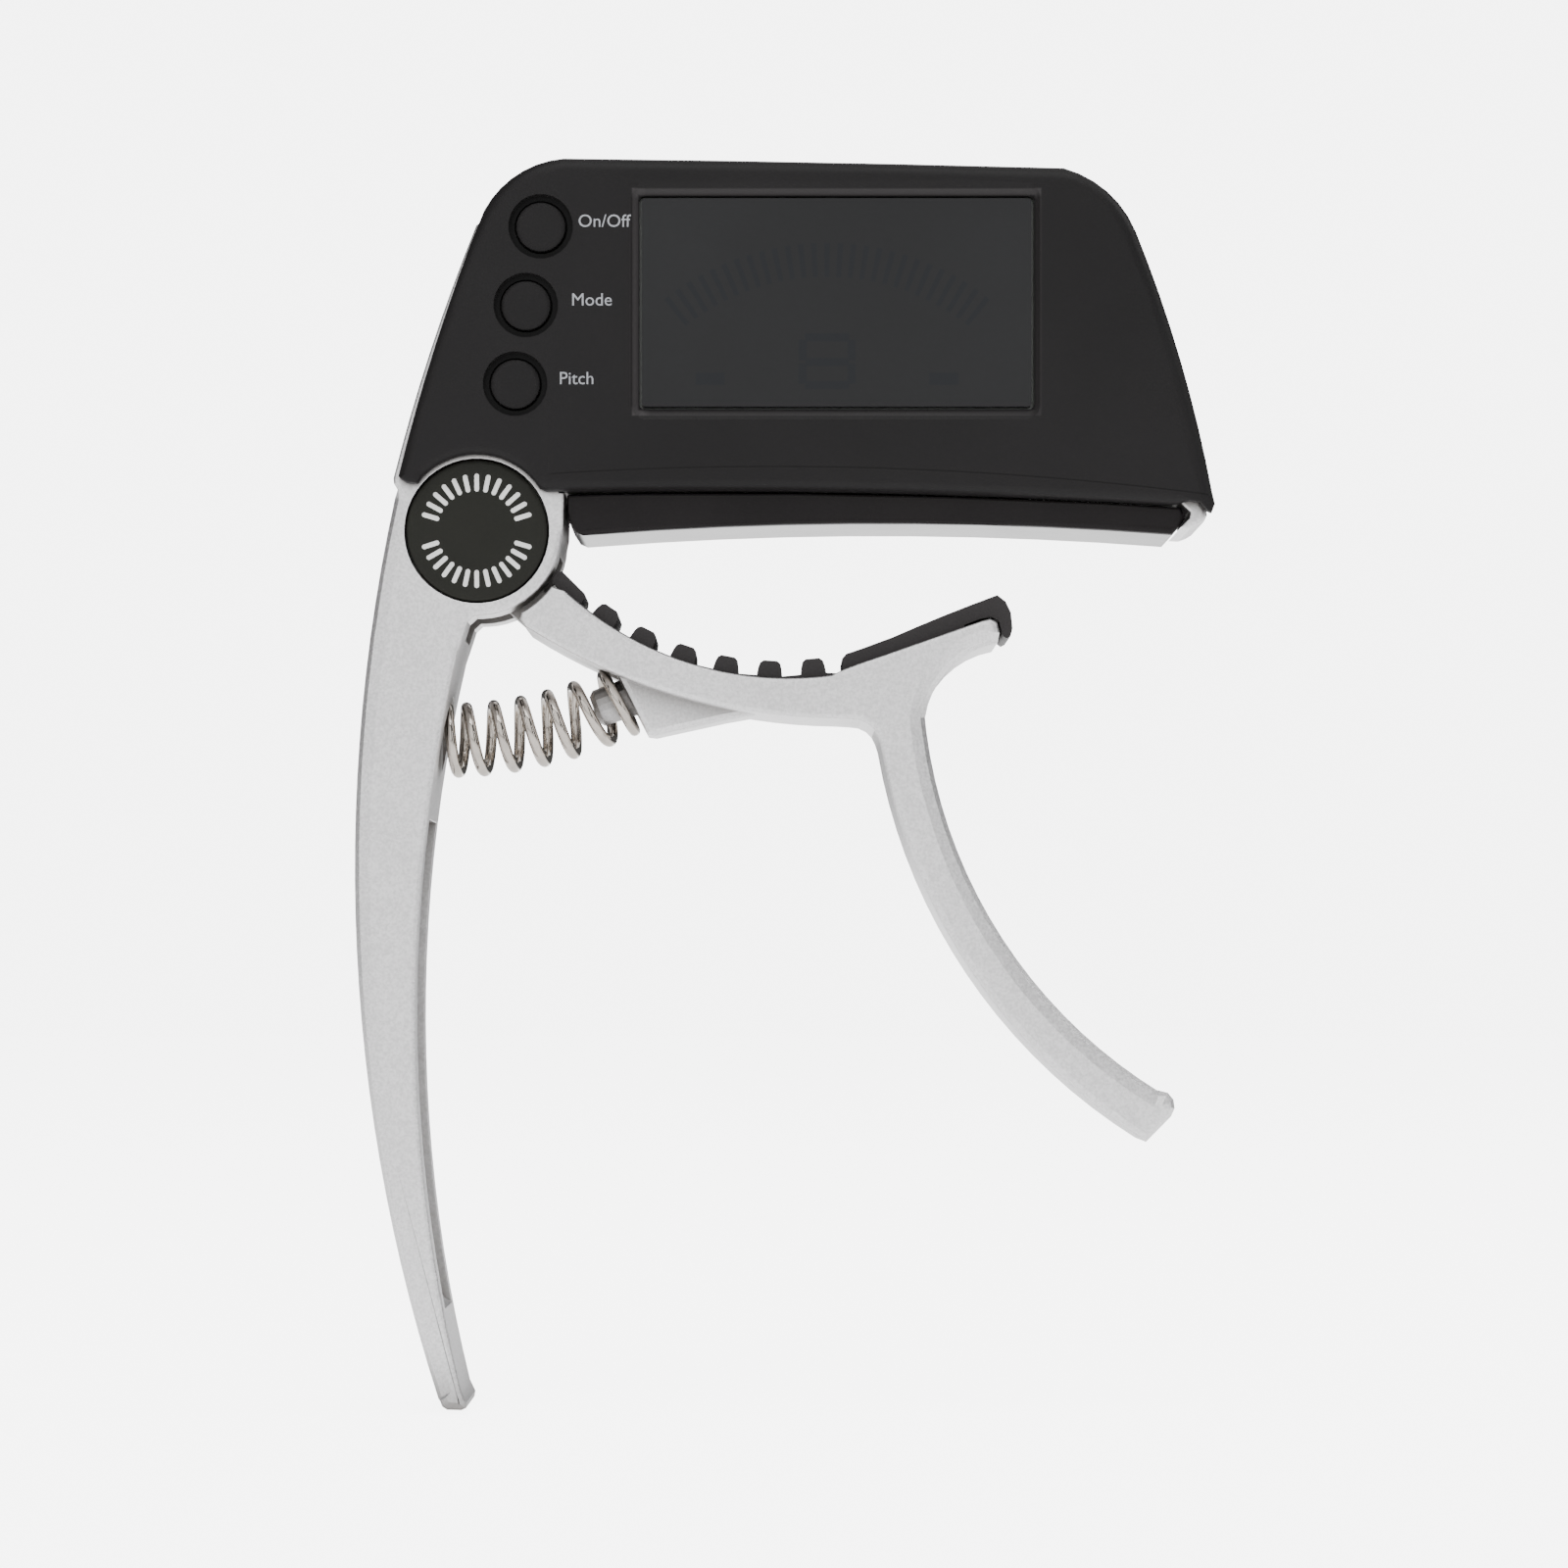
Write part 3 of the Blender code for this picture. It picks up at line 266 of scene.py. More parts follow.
class Shader:
    """A material in the making: a Principled shader, the skin grain group and short ways to add nodes.

    Values are numbers or sockets, and colours are plain colours or sockets.
    """

    def __init__(self, name, **constants):
        self.material = bpy.data.materials.new(name)
        self.material.use_nodes = True
        self.nodes = self.material.node_tree.nodes
        self.links = self.material.node_tree.links
        self.shader = self.nodes["Principled BSDF"]
        for socket, value in constants.items():
            self.shader.inputs[socket.replace("_", " ")].default_value = value

    def math(self, operation, a, b=None, c=None):
        """One step of arithmetic on numbers or sockets."""
        node = self.nodes.new("ShaderNodeMath")
        node.operation = operation
        for socket, value in zip(node.inputs, (a, b, c)):
            if value is None:
                continue
            if isinstance(value, (int, float)):
                socket.default_value = value
            else:
                self.links.new(value, socket)
        return node.outputs[0]

    def times(self, first, *others):
        """The product of numbers or sockets."""
        for other in others:
            first = self.math("MULTIPLY", first, other)
        return first

    def apart(self, a, b):
        """How far apart two values are."""
        return self.math("ABSOLUTE", self.math("SUBTRACT", a, b))

    def place(self):
        """X, Y and Z of the surface from the pivot, in millimetres."""
        coordinates = self.nodes.new("ShaderNodeTexCoord")
        mapping = self.nodes.new("ShaderNodeMapping")
        mapping.inputs["Location"].default_value = tuple(-PIVOT / MM)
        mapping.inputs["Scale"].default_value = (1 / MM,) * 3
        self.links.new(coordinates.outputs["Object"], mapping.inputs["Vector"])
        split = self.nodes.new("ShaderNodeSeparateXYZ")
        self.links.new(mapping.outputs["Vector"], split.inputs[0])
        return split.outputs[0], split.outputs[1], split.outputs[2]

    def distance(self, x, z, centre):
        """Distance in the front view from a centre."""
        dx, dz = self.math("SUBTRACT", x, centre[0]), self.math("SUBTRACT", z, centre[1])
        return self.math("SQRT", self.math("ADD", self.times(dx, dx), self.times(dz, dz)))

    def beyond(self, x, z, middle, half):
        """How far a place in the front view is outside a rectangle, negative inside it."""
        over_x = self.math("SUBTRACT", self.apart(x, middle[0]), half[0])
        over_z = self.math("SUBTRACT", self.apart(z, middle[1]), half[1])
        return self.math("MAXIMUM", over_x, over_z)

    def ramp(self, value, low, high, to_low=0.0, to_high=1.0, smooth=True):
        """Takes a value from one range to another, held at both ends."""
        node = self.nodes.new("ShaderNodeMapRange")
        node.interpolation_type = "SMOOTHSTEP" if smooth else "LINEAR"
        self.links.new(value, node.inputs["Value"])
        for socket, number in zip(("From Min", "From Max", "To Min", "To Max"), (low, high, to_low, to_high)):
            node.inputs[socket].default_value = number
        return node.outputs["Result"]

    def mix(self, factor, a, b):
        """Goes from the first colour to the second as the factor goes from 0 to 1."""
        node = self.nodes.new("ShaderNodeMix")
        node.data_type = "RGBA"
        self.links.new(factor, node.inputs["Factor"])
        for socket, value in ((node.inputs[6], a), (node.inputs[7], b)):
            if isinstance(value, tuple):
                socket.default_value = (*value, 1.0)
            else:
                self.links.new(value, socket)
        return node.outputs[2]

    def skin(self, grain=8000.0, depth=0.3, tone=90.0, fine=0.4, edge=0.0, height=None):
        """Adds the grain, with edges that catch the light as if rounded by the edge radius."""
        node = self.nodes.new("ShaderNodeGroup")
        node.node_tree = grain_group()
        values = {"Grain Scale": grain, "Depth": depth, "Tone Scale": tone, "Fine Share": fine, "Edge": edge}
        for socket, value in values.items():
            node.inputs[socket].default_value = value
        if height is not None:
            self.links.new(height, node.inputs["Height"])
        self.links.new(node.outputs["Normal"], self.shader.inputs["Normal"])
        return node.outputs["Tone"]

    def edges(self, radius, least, most):
        """1 along convex and concave edges and 0 elsewhere.

        With the angle between a rounded normal and the face's own, it rises as 1 - cos(angle) goes from
        least to most.
        """
        bevel = self.nodes.new("ShaderNodeBevel")
        bevel.samples = 8
        bevel.inputs["Radius"].default_value = radius
        face = self.nodes.new("ShaderNodeNewGeometry")
        product = self.nodes.new("ShaderNodeVectorMath")
        product.operation = "DOT_PRODUCT"
        self.links.new(bevel.outputs["Normal"], product.inputs[0])
        self.links.new(face.outputs["True Normal"], product.inputs[1])
        return self.ramp(product.outputs["Value"], 1 - most, 1 - least, 1.0, 0.0)

    def shelter(self, reach, open_share, closed_share):
        """0 where the surface is open to the room, up to 1 where other surfaces within reach shut it in."""
        occlusion = self.nodes.new("ShaderNodeAmbientOcclusion")
        occlusion.samples = 8
        occlusion.inputs["Distance"].default_value = reach
        return self.ramp(occlusion.outputs["AO"], closed_share, open_share, 1.0, 0.0)

    def finish(self, tone, colours, roughness):
        """Colour and roughness run from their first value to their second with the tone."""
        self.colour = self.mix(self.ramp(tone, 0.3, 0.7), *colours)
        self.links.new(self.colour, self.shader.inputs["Base Color"])
        self.links.new(self.ramp(tone, 0.3, 0.7, *roughness, smooth=False), self.shader.inputs["Roughness"])
        return self.material

    def recolour(self, factor, colour):
        """Lays another colour over the finish where the factor is 1."""
        self.colour = self.mix(factor, self.colour, colour)
        self.links.new(self.colour, self.shader.inputs["Base Color"])


def scaled(colour, share):
    """A colour made darker or lighter by a share."""
    return tuple(c * share for c in colour)


def varied(colour, low, high):
    """A colour's two ends, by the shares that make them darker and lighter."""
    return scaled(colour, low), scaled(colour, high)


def simple_finish(name, colour, roughness, metallic=0.0, specular=0.5, spread=0.12, **skin):
    """A finish with the skin's grain, whose colour and roughness drift a little either way."""
    shade = Shader(name, Metallic=metallic, Specular_IOR_Level=specular)
    tone = shade.skin(**skin)
    colours = varied(colour, 1 - spread, 1 + spread)
    return shade.finish(tone, colours, (roughness * 0.85, roughness * 1.15))


def wear(material, *nodes, split=34.0):
    """Gives a finish to CAD nodes, on their objects' own material slots, and even shading if they split."""
    for name in nodes:
        node = NODES[name]
        if not node.material_slots:
            node.data.materials.append(material)
        for slot in node.material_slots:
            slot.link = "OBJECT"
            slot.material = material
        if split:
            smooth_node(name, split)


# ---------------------------------------------------------------- settings

COLOUR = {"subtype": "COLOR", "size": 3, "min": 0.0, "max": 1.0}
FACTOR = {"subtype": "FACTOR", "min": 0.0, "max": 1.0}


class CastingSettings(bpy.types.PropertyGroup):
    """The two satin silver levers."""

    colour: FloatVectorProperty(
        name="Paint", description="Satin silver paint on the levers", default=(0.82, 0.812, 0.818), **COLOUR
    )
    roughness: FloatProperty(
        name="Roughness", description="How satin the paint is", default=0.42, **FACTOR
    )
    # painted shade reach: how far the painted shade in the levers' corners spreads from a neighbouring surface
    painted_shade_reach: FloatProperty(
        name="Shelter reach", description="How far away a surface darkens its neighbours, in mm",
        default=9.0, min=0.0,
    )
    # edge roughness: roughness of the lever edges that carry the painted highlight
    edge_roughness: FloatProperty(
        name="Edge roughness", description="How satin the rubbed edges are", default=0.2, **FACTOR
    )
    grain: FloatProperty(
        name="Grain", description="Bumps to a metre in the blasted skin", default=3800.0, min=100.0
    )


class ShellSettings(bpy.types.PropertyGroup):
    """The black case, its buttons and its window."""

    colour: FloatVectorProperty(
        name="Case", description="Colour of the black mouldings", default=(0.0165, 0.0155, 0.0160), **COLOUR
    )
    # rim highlight: a painted highlight, lighter than the case, on the slope round the window
    rim_highlight: FloatVectorProperty(
        name="Window rim", description="Colour of the polished slope round the window",
        default=(0.046, 0.043, 0.044), **COLOUR,
    )
    crease_radius: FloatProperty(
        name="Crease radius", description="Radius of the fine step along the foot of the case, in mm",
        default=321.4,
    )
    # the dark in the groove round each button is painted shade on the case
    well_radius: FloatProperty(
        name="Button groove", description="Outer radius of the dark groove round a button, in mm",
        default=3.05,
    )


class DisplaySettings(bpy.types.PropertyGroup):
    """The display window, switched off, with the meter's unlit segments just visible."""

    colour: FloatVectorProperty(
        name="Glass", description="Colour of the dark display behind its window",
        default=(0.0310, 0.0312, 0.0322), **COLOUR,
    )
    ghost: FloatVectorProperty(
        name="Unlit segment", description="Colour of an unlit segment",
        default=(0.0240, 0.0262, 0.0305), **COLOUR,
    )
    tick_angle: FloatProperty(
        name="Tick angle", description="Angle between two ticks of the meter, in degrees",
        default=2.9, min=0.5,
    )


class RubberSettings(bpy.types.PropertyGroup):
    """The soft pads of both jaws."""

    colour: FloatVectorProperty(
        name="Rubber", description="Colour of the jaw pads", default=(0.0240, 0.0212, 0.0218), **COLOUR
    )
    roughness: FloatProperty(
        name="Roughness", description="Roughness of the rubber", default=0.5, **FACTOR
    )


class SpringSettings(bpy.types.PropertyGroup):
    """The compression spring, counted in millimetres from the pivot."""

    start: FloatVectorProperty(
        name="Start", description="Start of its middle line, X and Z in mm", default=(-3.2, -19.4), size=2
    )
    end: FloatVectorProperty(
        name="End", description="End of its middle line, X and Z in mm", default=(13.477, -15.62), size=2
    )
    coil_radius: FloatProperty(
        name="Coil radius", description="Radius of the wire's line, in mm", default=3.1
    )
    wire_radius: FloatProperty(
        name="Wire radius", description="Radius of the wire, in mm", default=0.53
    )
    seat_lean: FloatProperty(
        name="Seat lean", description="Lean of the last turn on its seat",
        default=math.radians(27.2), subtype="ANGLE",
    )
    steps: IntProperty(name="Steps", description="Points of the wire to one turn", default=44, min=12)


class CapMarkSettings(bpy.types.PropertyGroup):
    """The ring of plain strokes printed on the front cap."""

    inner: FloatProperty(
        name="Inner radius", description="Where each stroke starts", default=0.0037, unit="LENGTH"
    )
    outer: FloatProperty(
        name="Outer radius", description="Where each stroke ends", default=0.0054, unit="LENGTH"
    )
    width: FloatProperty(name="Width", description="Width of a stroke", default=0.00046, unit="LENGTH")
    count: IntProperty(
        name="Strokes", description="Strokes on each half of the ring", default=13, min=2
    )
    span: FloatProperty(
        name="Span", description="Angle that each half covers", default=math.radians(146), subtype="ANGLE"
    )
    colour: FloatVectorProperty(
        name="Ink", description="Colour of the strokes", default=(0.95, 0.95, 0.93), **COLOUR
    )


class LabelSettings(bpy.types.PropertyGroup):
    """Plain words beside the three buttons."""

    power: StringProperty(
        name="First word", description="Word beside the top button", default="On/Off"
    )
    mode: StringProperty(
        name="Second word", description="Word beside the middle button", default="Mode"
    )
    pitch: StringProperty(
        name="Third word", description="Word beside the lowest button", default="Pitch"
    )
    height: FloatProperty(
        name="Letter size", description="Size of the letters", default=0.00168, unit="LENGTH"
    )
    colour: FloatVectorProperty(
        name="Ink", description="Colour of the words", default=(0.42, 0.43, 0.46), **COLOUR
    )


class ScrewSettings(bpy.types.PropertyGroup):
    """The four screws in the back of the case."""

    recess: FloatProperty(
        name="Recess", description="Depth of the cross", default=0.0005, unit="LENGTH"
    )
    arm_width: FloatProperty(
        name="Arm width", description="Half width of an arm of the cross", default=0.00022, unit="LENGTH"
    )
    arm_length: FloatProperty(
        name="Arm length", description="Reach of an arm of the cross", default=0.00105, unit="LENGTH"
    )


class DoorSettings(bpy.types.PropertyGroup):
    """Raised marks on the battery door."""

    size: FloatProperty(
        name="Mark size", description="Length of a raised stroke", default=0.0026, unit="LENGTH"
    )
    width: FloatProperty(
        name="Mark width", description="Width of a raised stroke", default=0.0005, unit="LENGTH"
    )


class StageSettings(bpy.types.PropertyGroup):
    """Floor, light and camera."""

    floor_light: FloatProperty(
        name="Floor light", description="Light that the floor gives near the object", default=1.0, min=0.0
    )
    card_light: FloatProperty(
        name="Card light", description="Light of the narrow white card behind the object",
        default=2.3, min=0.0,
    )
    floor_reach: FloatProperty(
        name="Floor reach", description="Where the floor's light has faded, in mm", default=700.0, min=100.0
    )
    backdrop: FloatProperty(
        name="Backdrop", description="Brightness of the floor and backdrop to the camera",
        default=6.0, min=0.0,
    )
    room_light: FloatProperty(
        name="Room light", description="Light from all round", default=0.1, min=0.0
    )
    top_light: FloatProperty(
        name="Top light", description="Power of the light above", default=8.0, min=0.0, unit="POWER"
    )
    strip_light: FloatProperty(
        name="Strip lights", description="Power of each of the narrow lights that draw the edges",
        default=3.0, min=0.0, unit="POWER",
    )
    front_light: FloatProperty(
        name="Front light", description="Power of the large front light",
        default=10.0, min=0.0, unit="POWER",
    )


# ---------------------------------------------------------------- pieces


class TUNER_OT_castings(bpy.types.Operator):
    """Gives the levers their blasted satin paint, with painted shade in their corners and a painted highlight
    and smoother paint along their edges
    """

    bl_idname = "tuner.castings"
    bl_label = "Levers"

    def execute(self, context):
        settings = context.scene.tuner_castings
        colour = tuple(settings.colour)
        shade = Shader("satin_silver_paint", Metallic=0.88, Specular_IOR_Level=0.4)
        shade.shader.inputs["Coat Roughness"].default_value = 0.3
        shade.shader.inputs["Coat Weight"].default_value = 0.08
        corner_shade_grey, corner_shade_strength = (0.16, 0.148, 0.138), 0.9
        edge_highlight_colour, edge_highlight_strength = (0.98, 0.975, 0.98), 0.85
        tone = shade.skin(grain=settings.grain, depth=0.25, tone=140.0, fine=0.85, edge=0.1 * MM)
        rough = settings.roughness
        paint = shade.finish(tone, varied(colour, 0.9, 1.22), (rough * 0.85, rough * 1.16))
        # painted shade: the paint is darkened to grey where nearby surfaces shut the place in
        painted_corner_shade = shade.shelter(settings.painted_shade_reach * MM, open_share=0.93, closed_share=0.35)
        shade.recolour(shade.times(painted_corner_shade, corner_shade_strength), corner_shade_grey)
        # painted highlight: a thin near-white line along the levers' edges, kept out of the painted corner
        # shade; the same mask also makes the edges smoother
        painted_edge_highlight = shade.edges(0.2 * MM, least=0.015, most=0.08)
        painted_edge_highlight = shade.times(painted_edge_highlight, shade.math("SUBTRACT", 1.0, painted_corner_shade))
        shade.recolour(shade.times(painted_edge_highlight, edge_highlight_strength), edge_highlight_colour)
        satin = shade.shader.inputs["Roughness"].links[0].from_socket
        smoother = shade.math("MULTIPLY_ADD", painted_edge_highlight, settings.edge_roughness - rough, satin)
        shade.links.new(smoother, shade.shader.inputs["Roughness"])
        wear(paint, "fixed_lever", "squeeze_lever", split=13.5)
        return {"FINISHED"}


class TUNER_OT_shells(bpy.types.Operator):
    """Gives the case its fine matt moulding, with the step along its foot, painted shade along that step and
    in the button grooves, and a painted highlight on the slope round the window
    """

    bl_idname = "tuner.shells"
    bl_label = "Case"

    def execute(self, context):
        settings = context.scene.tuner_shells
        colour = tuple(settings.colour)
        crease_middle, crease_height = 28.0, 5.9
        crease_centre = (crease_middle, crease_height - settings.crease_radius)
        shade = Shader("black_case_moulding", Specular_IOR_Level=0.14)
        x, y, z = shade.place()
        front = shade.ramp(y, HEAD_FRONT / MM + 0.02, HEAD_FRONT / MM + 0.3, 1.0, 0.0)
        from_centre = shade.distance(x, z, crease_centre)
        from_crease = shade.math("SUBTRACT", from_centre, settings.crease_radius)
        step = shade.times(shade.ramp(from_crease, -0.16, 0.0), front)
        right_of_hub = shade.ramp(x, 6.6, 7.4)
        step = shade.times(step, right_of_hub)
        tone = shade.skin(grain=11000.0, depth=0.22, tone=60.0, fine=0.3, height=step)
        case = shade.finish(tone, varied(colour, 0.78, 1.0), (0.40, 0.52))
        # painted shade: a thin dark line along the step at the foot of the case, on the front face right of
        # the hub
        line = shade.ramp(shade.math("ABSOLUTE", from_crease), 0.02, 0.12, 1.0, 0.0)
        line = shade.times(shade.times(line, front), right_of_hub)
        shade.recolour(shade.times(line, 0.75), scaled(colour, 0.3))
        # painted shade: the ring round each button, where its groove is, darkened nearly to black on the front
        groove = None
        for name in BUTTON_NODES:
            middle = (node_middle(name) - PIVOT) / MM
            from_button = shade.distance(x, z, (middle[0], middle[2]))
            ring = shade.ramp(from_button, settings.well_radius - 0.12, settings.well_radius, 1.0, 0.0)
            groove = ring if groove is None else shade.math("MAXIMUM", groove, ring)
        front_half = shade.ramp(y, -6.5, -6.0, 1.0, 0.0)
        groove = shade.times(groove, front_half)
        shade.recolour(shade.times(groove, 0.9), scaled(colour, 0.12))
        # painted highlight on the slope round the window: full on its right and lower sides, dimmer on its
        # left and top
        low, high = ((np.array(corner) - PIVOT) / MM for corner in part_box("display_lens"))
        middle, half = (low + high) / 2, (high - low) / 2
        outside = shade.beyond(x, z, (middle[0], middle[2]), (half[0], half[2]))
        inner, outer = shade.ramp(outside, 0.2, 0.45), shade.ramp(outside, 0.8, 1.0, 1.0, 0.0)
        rim_highlight = shade.times(inner, outer)
        dull_share = 0.35
        left_side = shade.ramp(x, low[0], low[0] + 1, 1.0, dull_share)
        top_side = shade.ramp(z, high[2], high[2] + 0.5, dull_share, 0.8)
        rim_highlight = shade.times(rim_highlight, shade.math("MAXIMUM", left_side, top_side))
        shade.recolour(shade.times(rim_highlight, front_half), tuple(settings.rim_highlight))
        wear(case, "front_shell", "rear_shell", "battery_door")
        return {"FINISHED"}


class TUNER_OT_buttons(bpy.types.Operator):
    """Gives the three buttons their smooth black moulding"""

    bl_idname = "tuner.buttons"
    bl_label = "Buttons"

    def execute(self, context):
        colour = scaled(tuple(context.scene.tuner_shells.colour), 0.95)
        button = simple_finish(
            "button_moulding", colour, 0.46, specular=0.12, spread=0.08,
            grain=14000.0, depth=0.12, tone=150.0,
        )
        wear(button, *BUTTON_NODES)
        return {"FINISHED"}


class TUNER_OT_display(bpy.types.Operator):
    """Gives the window its dark glass, with a generic meter's unlit segments faintly visible behind it"""

    bl_idname = "tuner.display"
    bl_label = "Display"

    def execute(self, context):
        settings = context.scene.tuner_display
        low, high = ((np.array(corner) - PIVOT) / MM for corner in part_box("display_lens"))
        middle = (low + high) / 2
        meter_radius, tick_length, meter_half_angle = 24.7, 3.2, 39.2
        centre = (middle[0] - 0.9, 2.3)
        bars_up = 1.2
        colour = tuple(settings.colour)
        shade = Shader("display_window", Specular_IOR_Level=0.03)
        x, _, z = shade.place()
        tone = shade.skin(grain=1500.0, depth=0.0, tone=45.0, fine=0.0)
        window = shade.finish(tone, varied(colour, 0.96, 1.05), (0.3, 0.36))
        away = shade.distance(x, z, centre)
        dx, dz = shade.math("SUBTRACT", x, centre[0]), shade.math("SUBTRACT", z, centre[1])
        angle = shade.math("DEGREES", shade.math("ARCTAN2", dx, dz))
        turns = shade.math("DIVIDE", angle, settings.tick_angle)
        from_tick = shade.apart(turns, shade.math("ROUND", turns))
        stroke = shade.ramp(from_tick, 0.16, 0.26, 1.0, 0.0)
        foot, soft = meter_radius - tick_length, 0.1
        inner = shade.ramp(away, foot - soft, foot + soft)
        outer = shade.ramp(away, meter_radius - soft, meter_radius + soft, 1.0, 0.0)
        from_middle = shade.math("ABSOLUTE", angle)
        span = shade.ramp(from_middle, meter_half_angle - 0.2, meter_half_angle + 0.2, 1.0, 0.0)
        ghost = shade.times(stroke, inner, outer, span)
        # each bar's middle across and up, then its half width and half height
        bars = (
            (0.0, 16.9, 2.0, 0.3), (0.0, 14.6, 2.0, 0.3), (0.0, 12.4, 2.0, 0.3),
            (-2.3, 15.7, 0.3, 0.9), (2.3, 15.7, 0.3, 0.9), (-2.3, 13.5, 0.3, 0.9), (2.3, 13.5, 0.3, 0.9),
            (-11.0, 13.0, 1.3, 0.5), (11.0, 13.0, 1.3, 0.5),
        )
        for bar_x, bar_z, half_x, half_z in bars:
            over_x = shade.apart(dx, bar_x)
            over_z = shade.apart(z, bar_z + bars_up)
            across = shade.ramp(over_x, half_x, half_x + 0.15, 1.0, 0.0)
            upright = shade.ramp(over_z, half_z, half_z + 0.15, 1.0, 0.0)
            ghost = shade.math("MAXIMUM", ghost, shade.times(across, upright))
        shade.recolour(shade.times(ghost, 0.5), tuple(settings.ghost))
        wear(window, "display_lens")
        return {"FINISHED"}


class TUNER_OT_pads(bpy.types.Operator):
    """Gives both jaw pads their matt rubber"""

    bl_idname = "tuner.pads"
    bl_label = "Jaw pads"

    def execute(self, context):
        settings = context.scene.tuner_pads
        rubber = simple_finish(
            "jaw_rubber", tuple(settings.colour), settings.roughness, specular=0.3, spread=0.16,
            grain=5200.0, depth=0.5, tone=220.0, fine=0.5,
        )
        smooth_rubber = simple_finish(
            "smooth_jaw_rubber", scaled(tuple(settings.colour), 0.6), 0.16, specular=0.1, spread=0.1,
            grain=2500.0, depth=0.04, tone=120.0, fine=0.3,
        )
        wear(rubber, "moving_jaw_pad", split=40.0)
        wear(smooth_rubber, "fixed_jaw_pad", split=40.0)
        return {"FINISHED"}


class TUNER_OT_pivot(bpy.types.Operator):
    """Gives the pivot's caps, pin, ring and bush their finishes"""

    bl_idname = "tuner.pivot"
    bl_label = "Pivot"

    def execute(self, context):
        cap = simple_finish(
            "cap_moulding", (0.0190, 0.0192, 0.0160), 0.55, specular=0.14, spread=0.1,
            grain=9000.0, depth=0.15, tone=200.0, fine=0.4,
        )
        wear(cap, "front_cap", "rear_cap")
        steel = simple_finish(
            "pin_steel", (0.55, 0.55, 0.56), 0.28, 1.0, grain=12000.0, depth=0.08, tone=300.0
        )
        wear(steel, "hinge_pin", "retaining_ring")
        nylon = simple_finish("bush_nylon", (0.72, 0.71, 0.66), 0.5, grain=9000.0, depth=0.1, tone=200.0)
        wear(nylon, "pivot_bush")
        return {"FINISHED"}


def spring_line(settings):
    """The wire's middle line, with its out and side directions, in the frame's metres.

    The middle line of the spring is an arc that starts level and ends at its seat. It moves on by a pitch
    for each turn of a run of turns. A turn's plane leans 2.8 degrees more for each turn, and over the last
    open turn it comes to lie on the seat.
    """
    # turns and pitch of each run, in mm
    runs = ((1, 1.8), (4, 2.6), (1, 3.5), (0.75, 0.67))
    last_open = 5
    start, end = np.array(settings.start), np.array(settings.end)
    reach = end - start
    sweep = 2 * math.atan2(reach[1], reach[0])
    bend = reach[0] / math.sin(sweep)
    whole_turns = sum(length for length, _ in runs)
    turns = np.linspace(0, whole_turns, round(whole_turns * settings.steps) + 1)
    along, before = np.zeros_like(turns), 0
    for length, pitch in runs:
        along += pitch * np.clip(turns - before, 0, length)
        before += length
    tilt = along / along[-1] * sweep
    nothing = np.zeros_like(turns)
    axis = np.stack([start[0] + bend * np.sin(tilt), nothing, start[1] + bend * (1 - np.cos(tilt))], -1)
    slow = math.radians(2.8)
    part = np.clip(turns - last_open, 0, 1)
    lean = slow * turns + (settings.seat_lean - slow * whole_turns) * part * part * (3 - 2 * part)
    angle = math.tau * turns
    up = np.cos(angle)
    around = np.stack([-np.sin(lean) * up, -np.sin(angle), np.cos(lean) * up], -1)
    line = PIVOT + (axis + around * settings.coil_radius) * MM
    along_wire = np.gradient(line, axis=0)
    along_wire /= np.linalg.norm(along_wire, axis=1, keepdims=True)
    out = around - along_wire * np.sum(around * along_wire, 1, keepdims=True)
    out /= np.linalg.norm(out, axis=1, keepdims=True)
    return line, out, np.cross(along_wire, out)


class TUNER_OT_spring(bpy.types.Operator):
    """Makes the round spring wire, which bends between the two levers"""

    bl_idname = "tuner.spring"
    bl_label = "Spring"

    def execute(self, context):
        settings = context.scene.tuner_spring
        line, out, side = spring_line(settings)
        points, faces = tube_points(line, out, side, settings.wire_radius * MM, 16)
        steel = simple_finish(
            "spring_wire_steel", (0.56, 0.515, 0.465), 0.09, 1.0, spread=0.08,
            grain=2600.0, depth=0.0, tone=500.0, fine=0.2,
        )
        spring = make_piece("spring_wire", points, faces, steel)
        outward(spring)
        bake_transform(spring)
        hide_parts("coil_spring")
        return {"FINISHED"}


class TUNER_OT_cap_marks(bpy.types.Operator):
    """Prints a ring of plain white strokes on the front cap, in an upper and a lower half"""

    bl_idname = "tuner.cap_marks"
    bl_label = "Cap marks"

    def execute(self, context):
        settings = context.scene.tuner_cap_marks
        half = np.linspace(-settings.span / 2, settings.span / 2, settings.count)
        angle = np.concatenate([math.pi / 2 + half, -math.pi / 2 + half])
        nothing = np.zeros_like(angle)
        outwards = np.stack([np.cos(angle), nothing, np.sin(angle)], -1)
        across = np.stack([-np.sin(angle), nothing, np.cos(angle)], -1)
        middle = PIVOT + outwards * (settings.inner + settings.outer) / 2
        length, sunk, proud = settings.outer - settings.inner, 0.03 * MM, 0.05 * MM
        points, faces = pill_points(
            middle, outwards, across, length, settings.width, CAP_FACE + sunk, CAP_FACE - proud
        )
        ink = simple_finish(
            "white_ink", tuple(settings.colour), 0.5, specular=0.3, spread=0.05,
            grain=9000.0, depth=0.2, tone=500.0,
        )
        marks = make_piece("cap_marks", points, faces, ink, "fixed_frame")
        outward(marks)
        return {"FINISHED"}


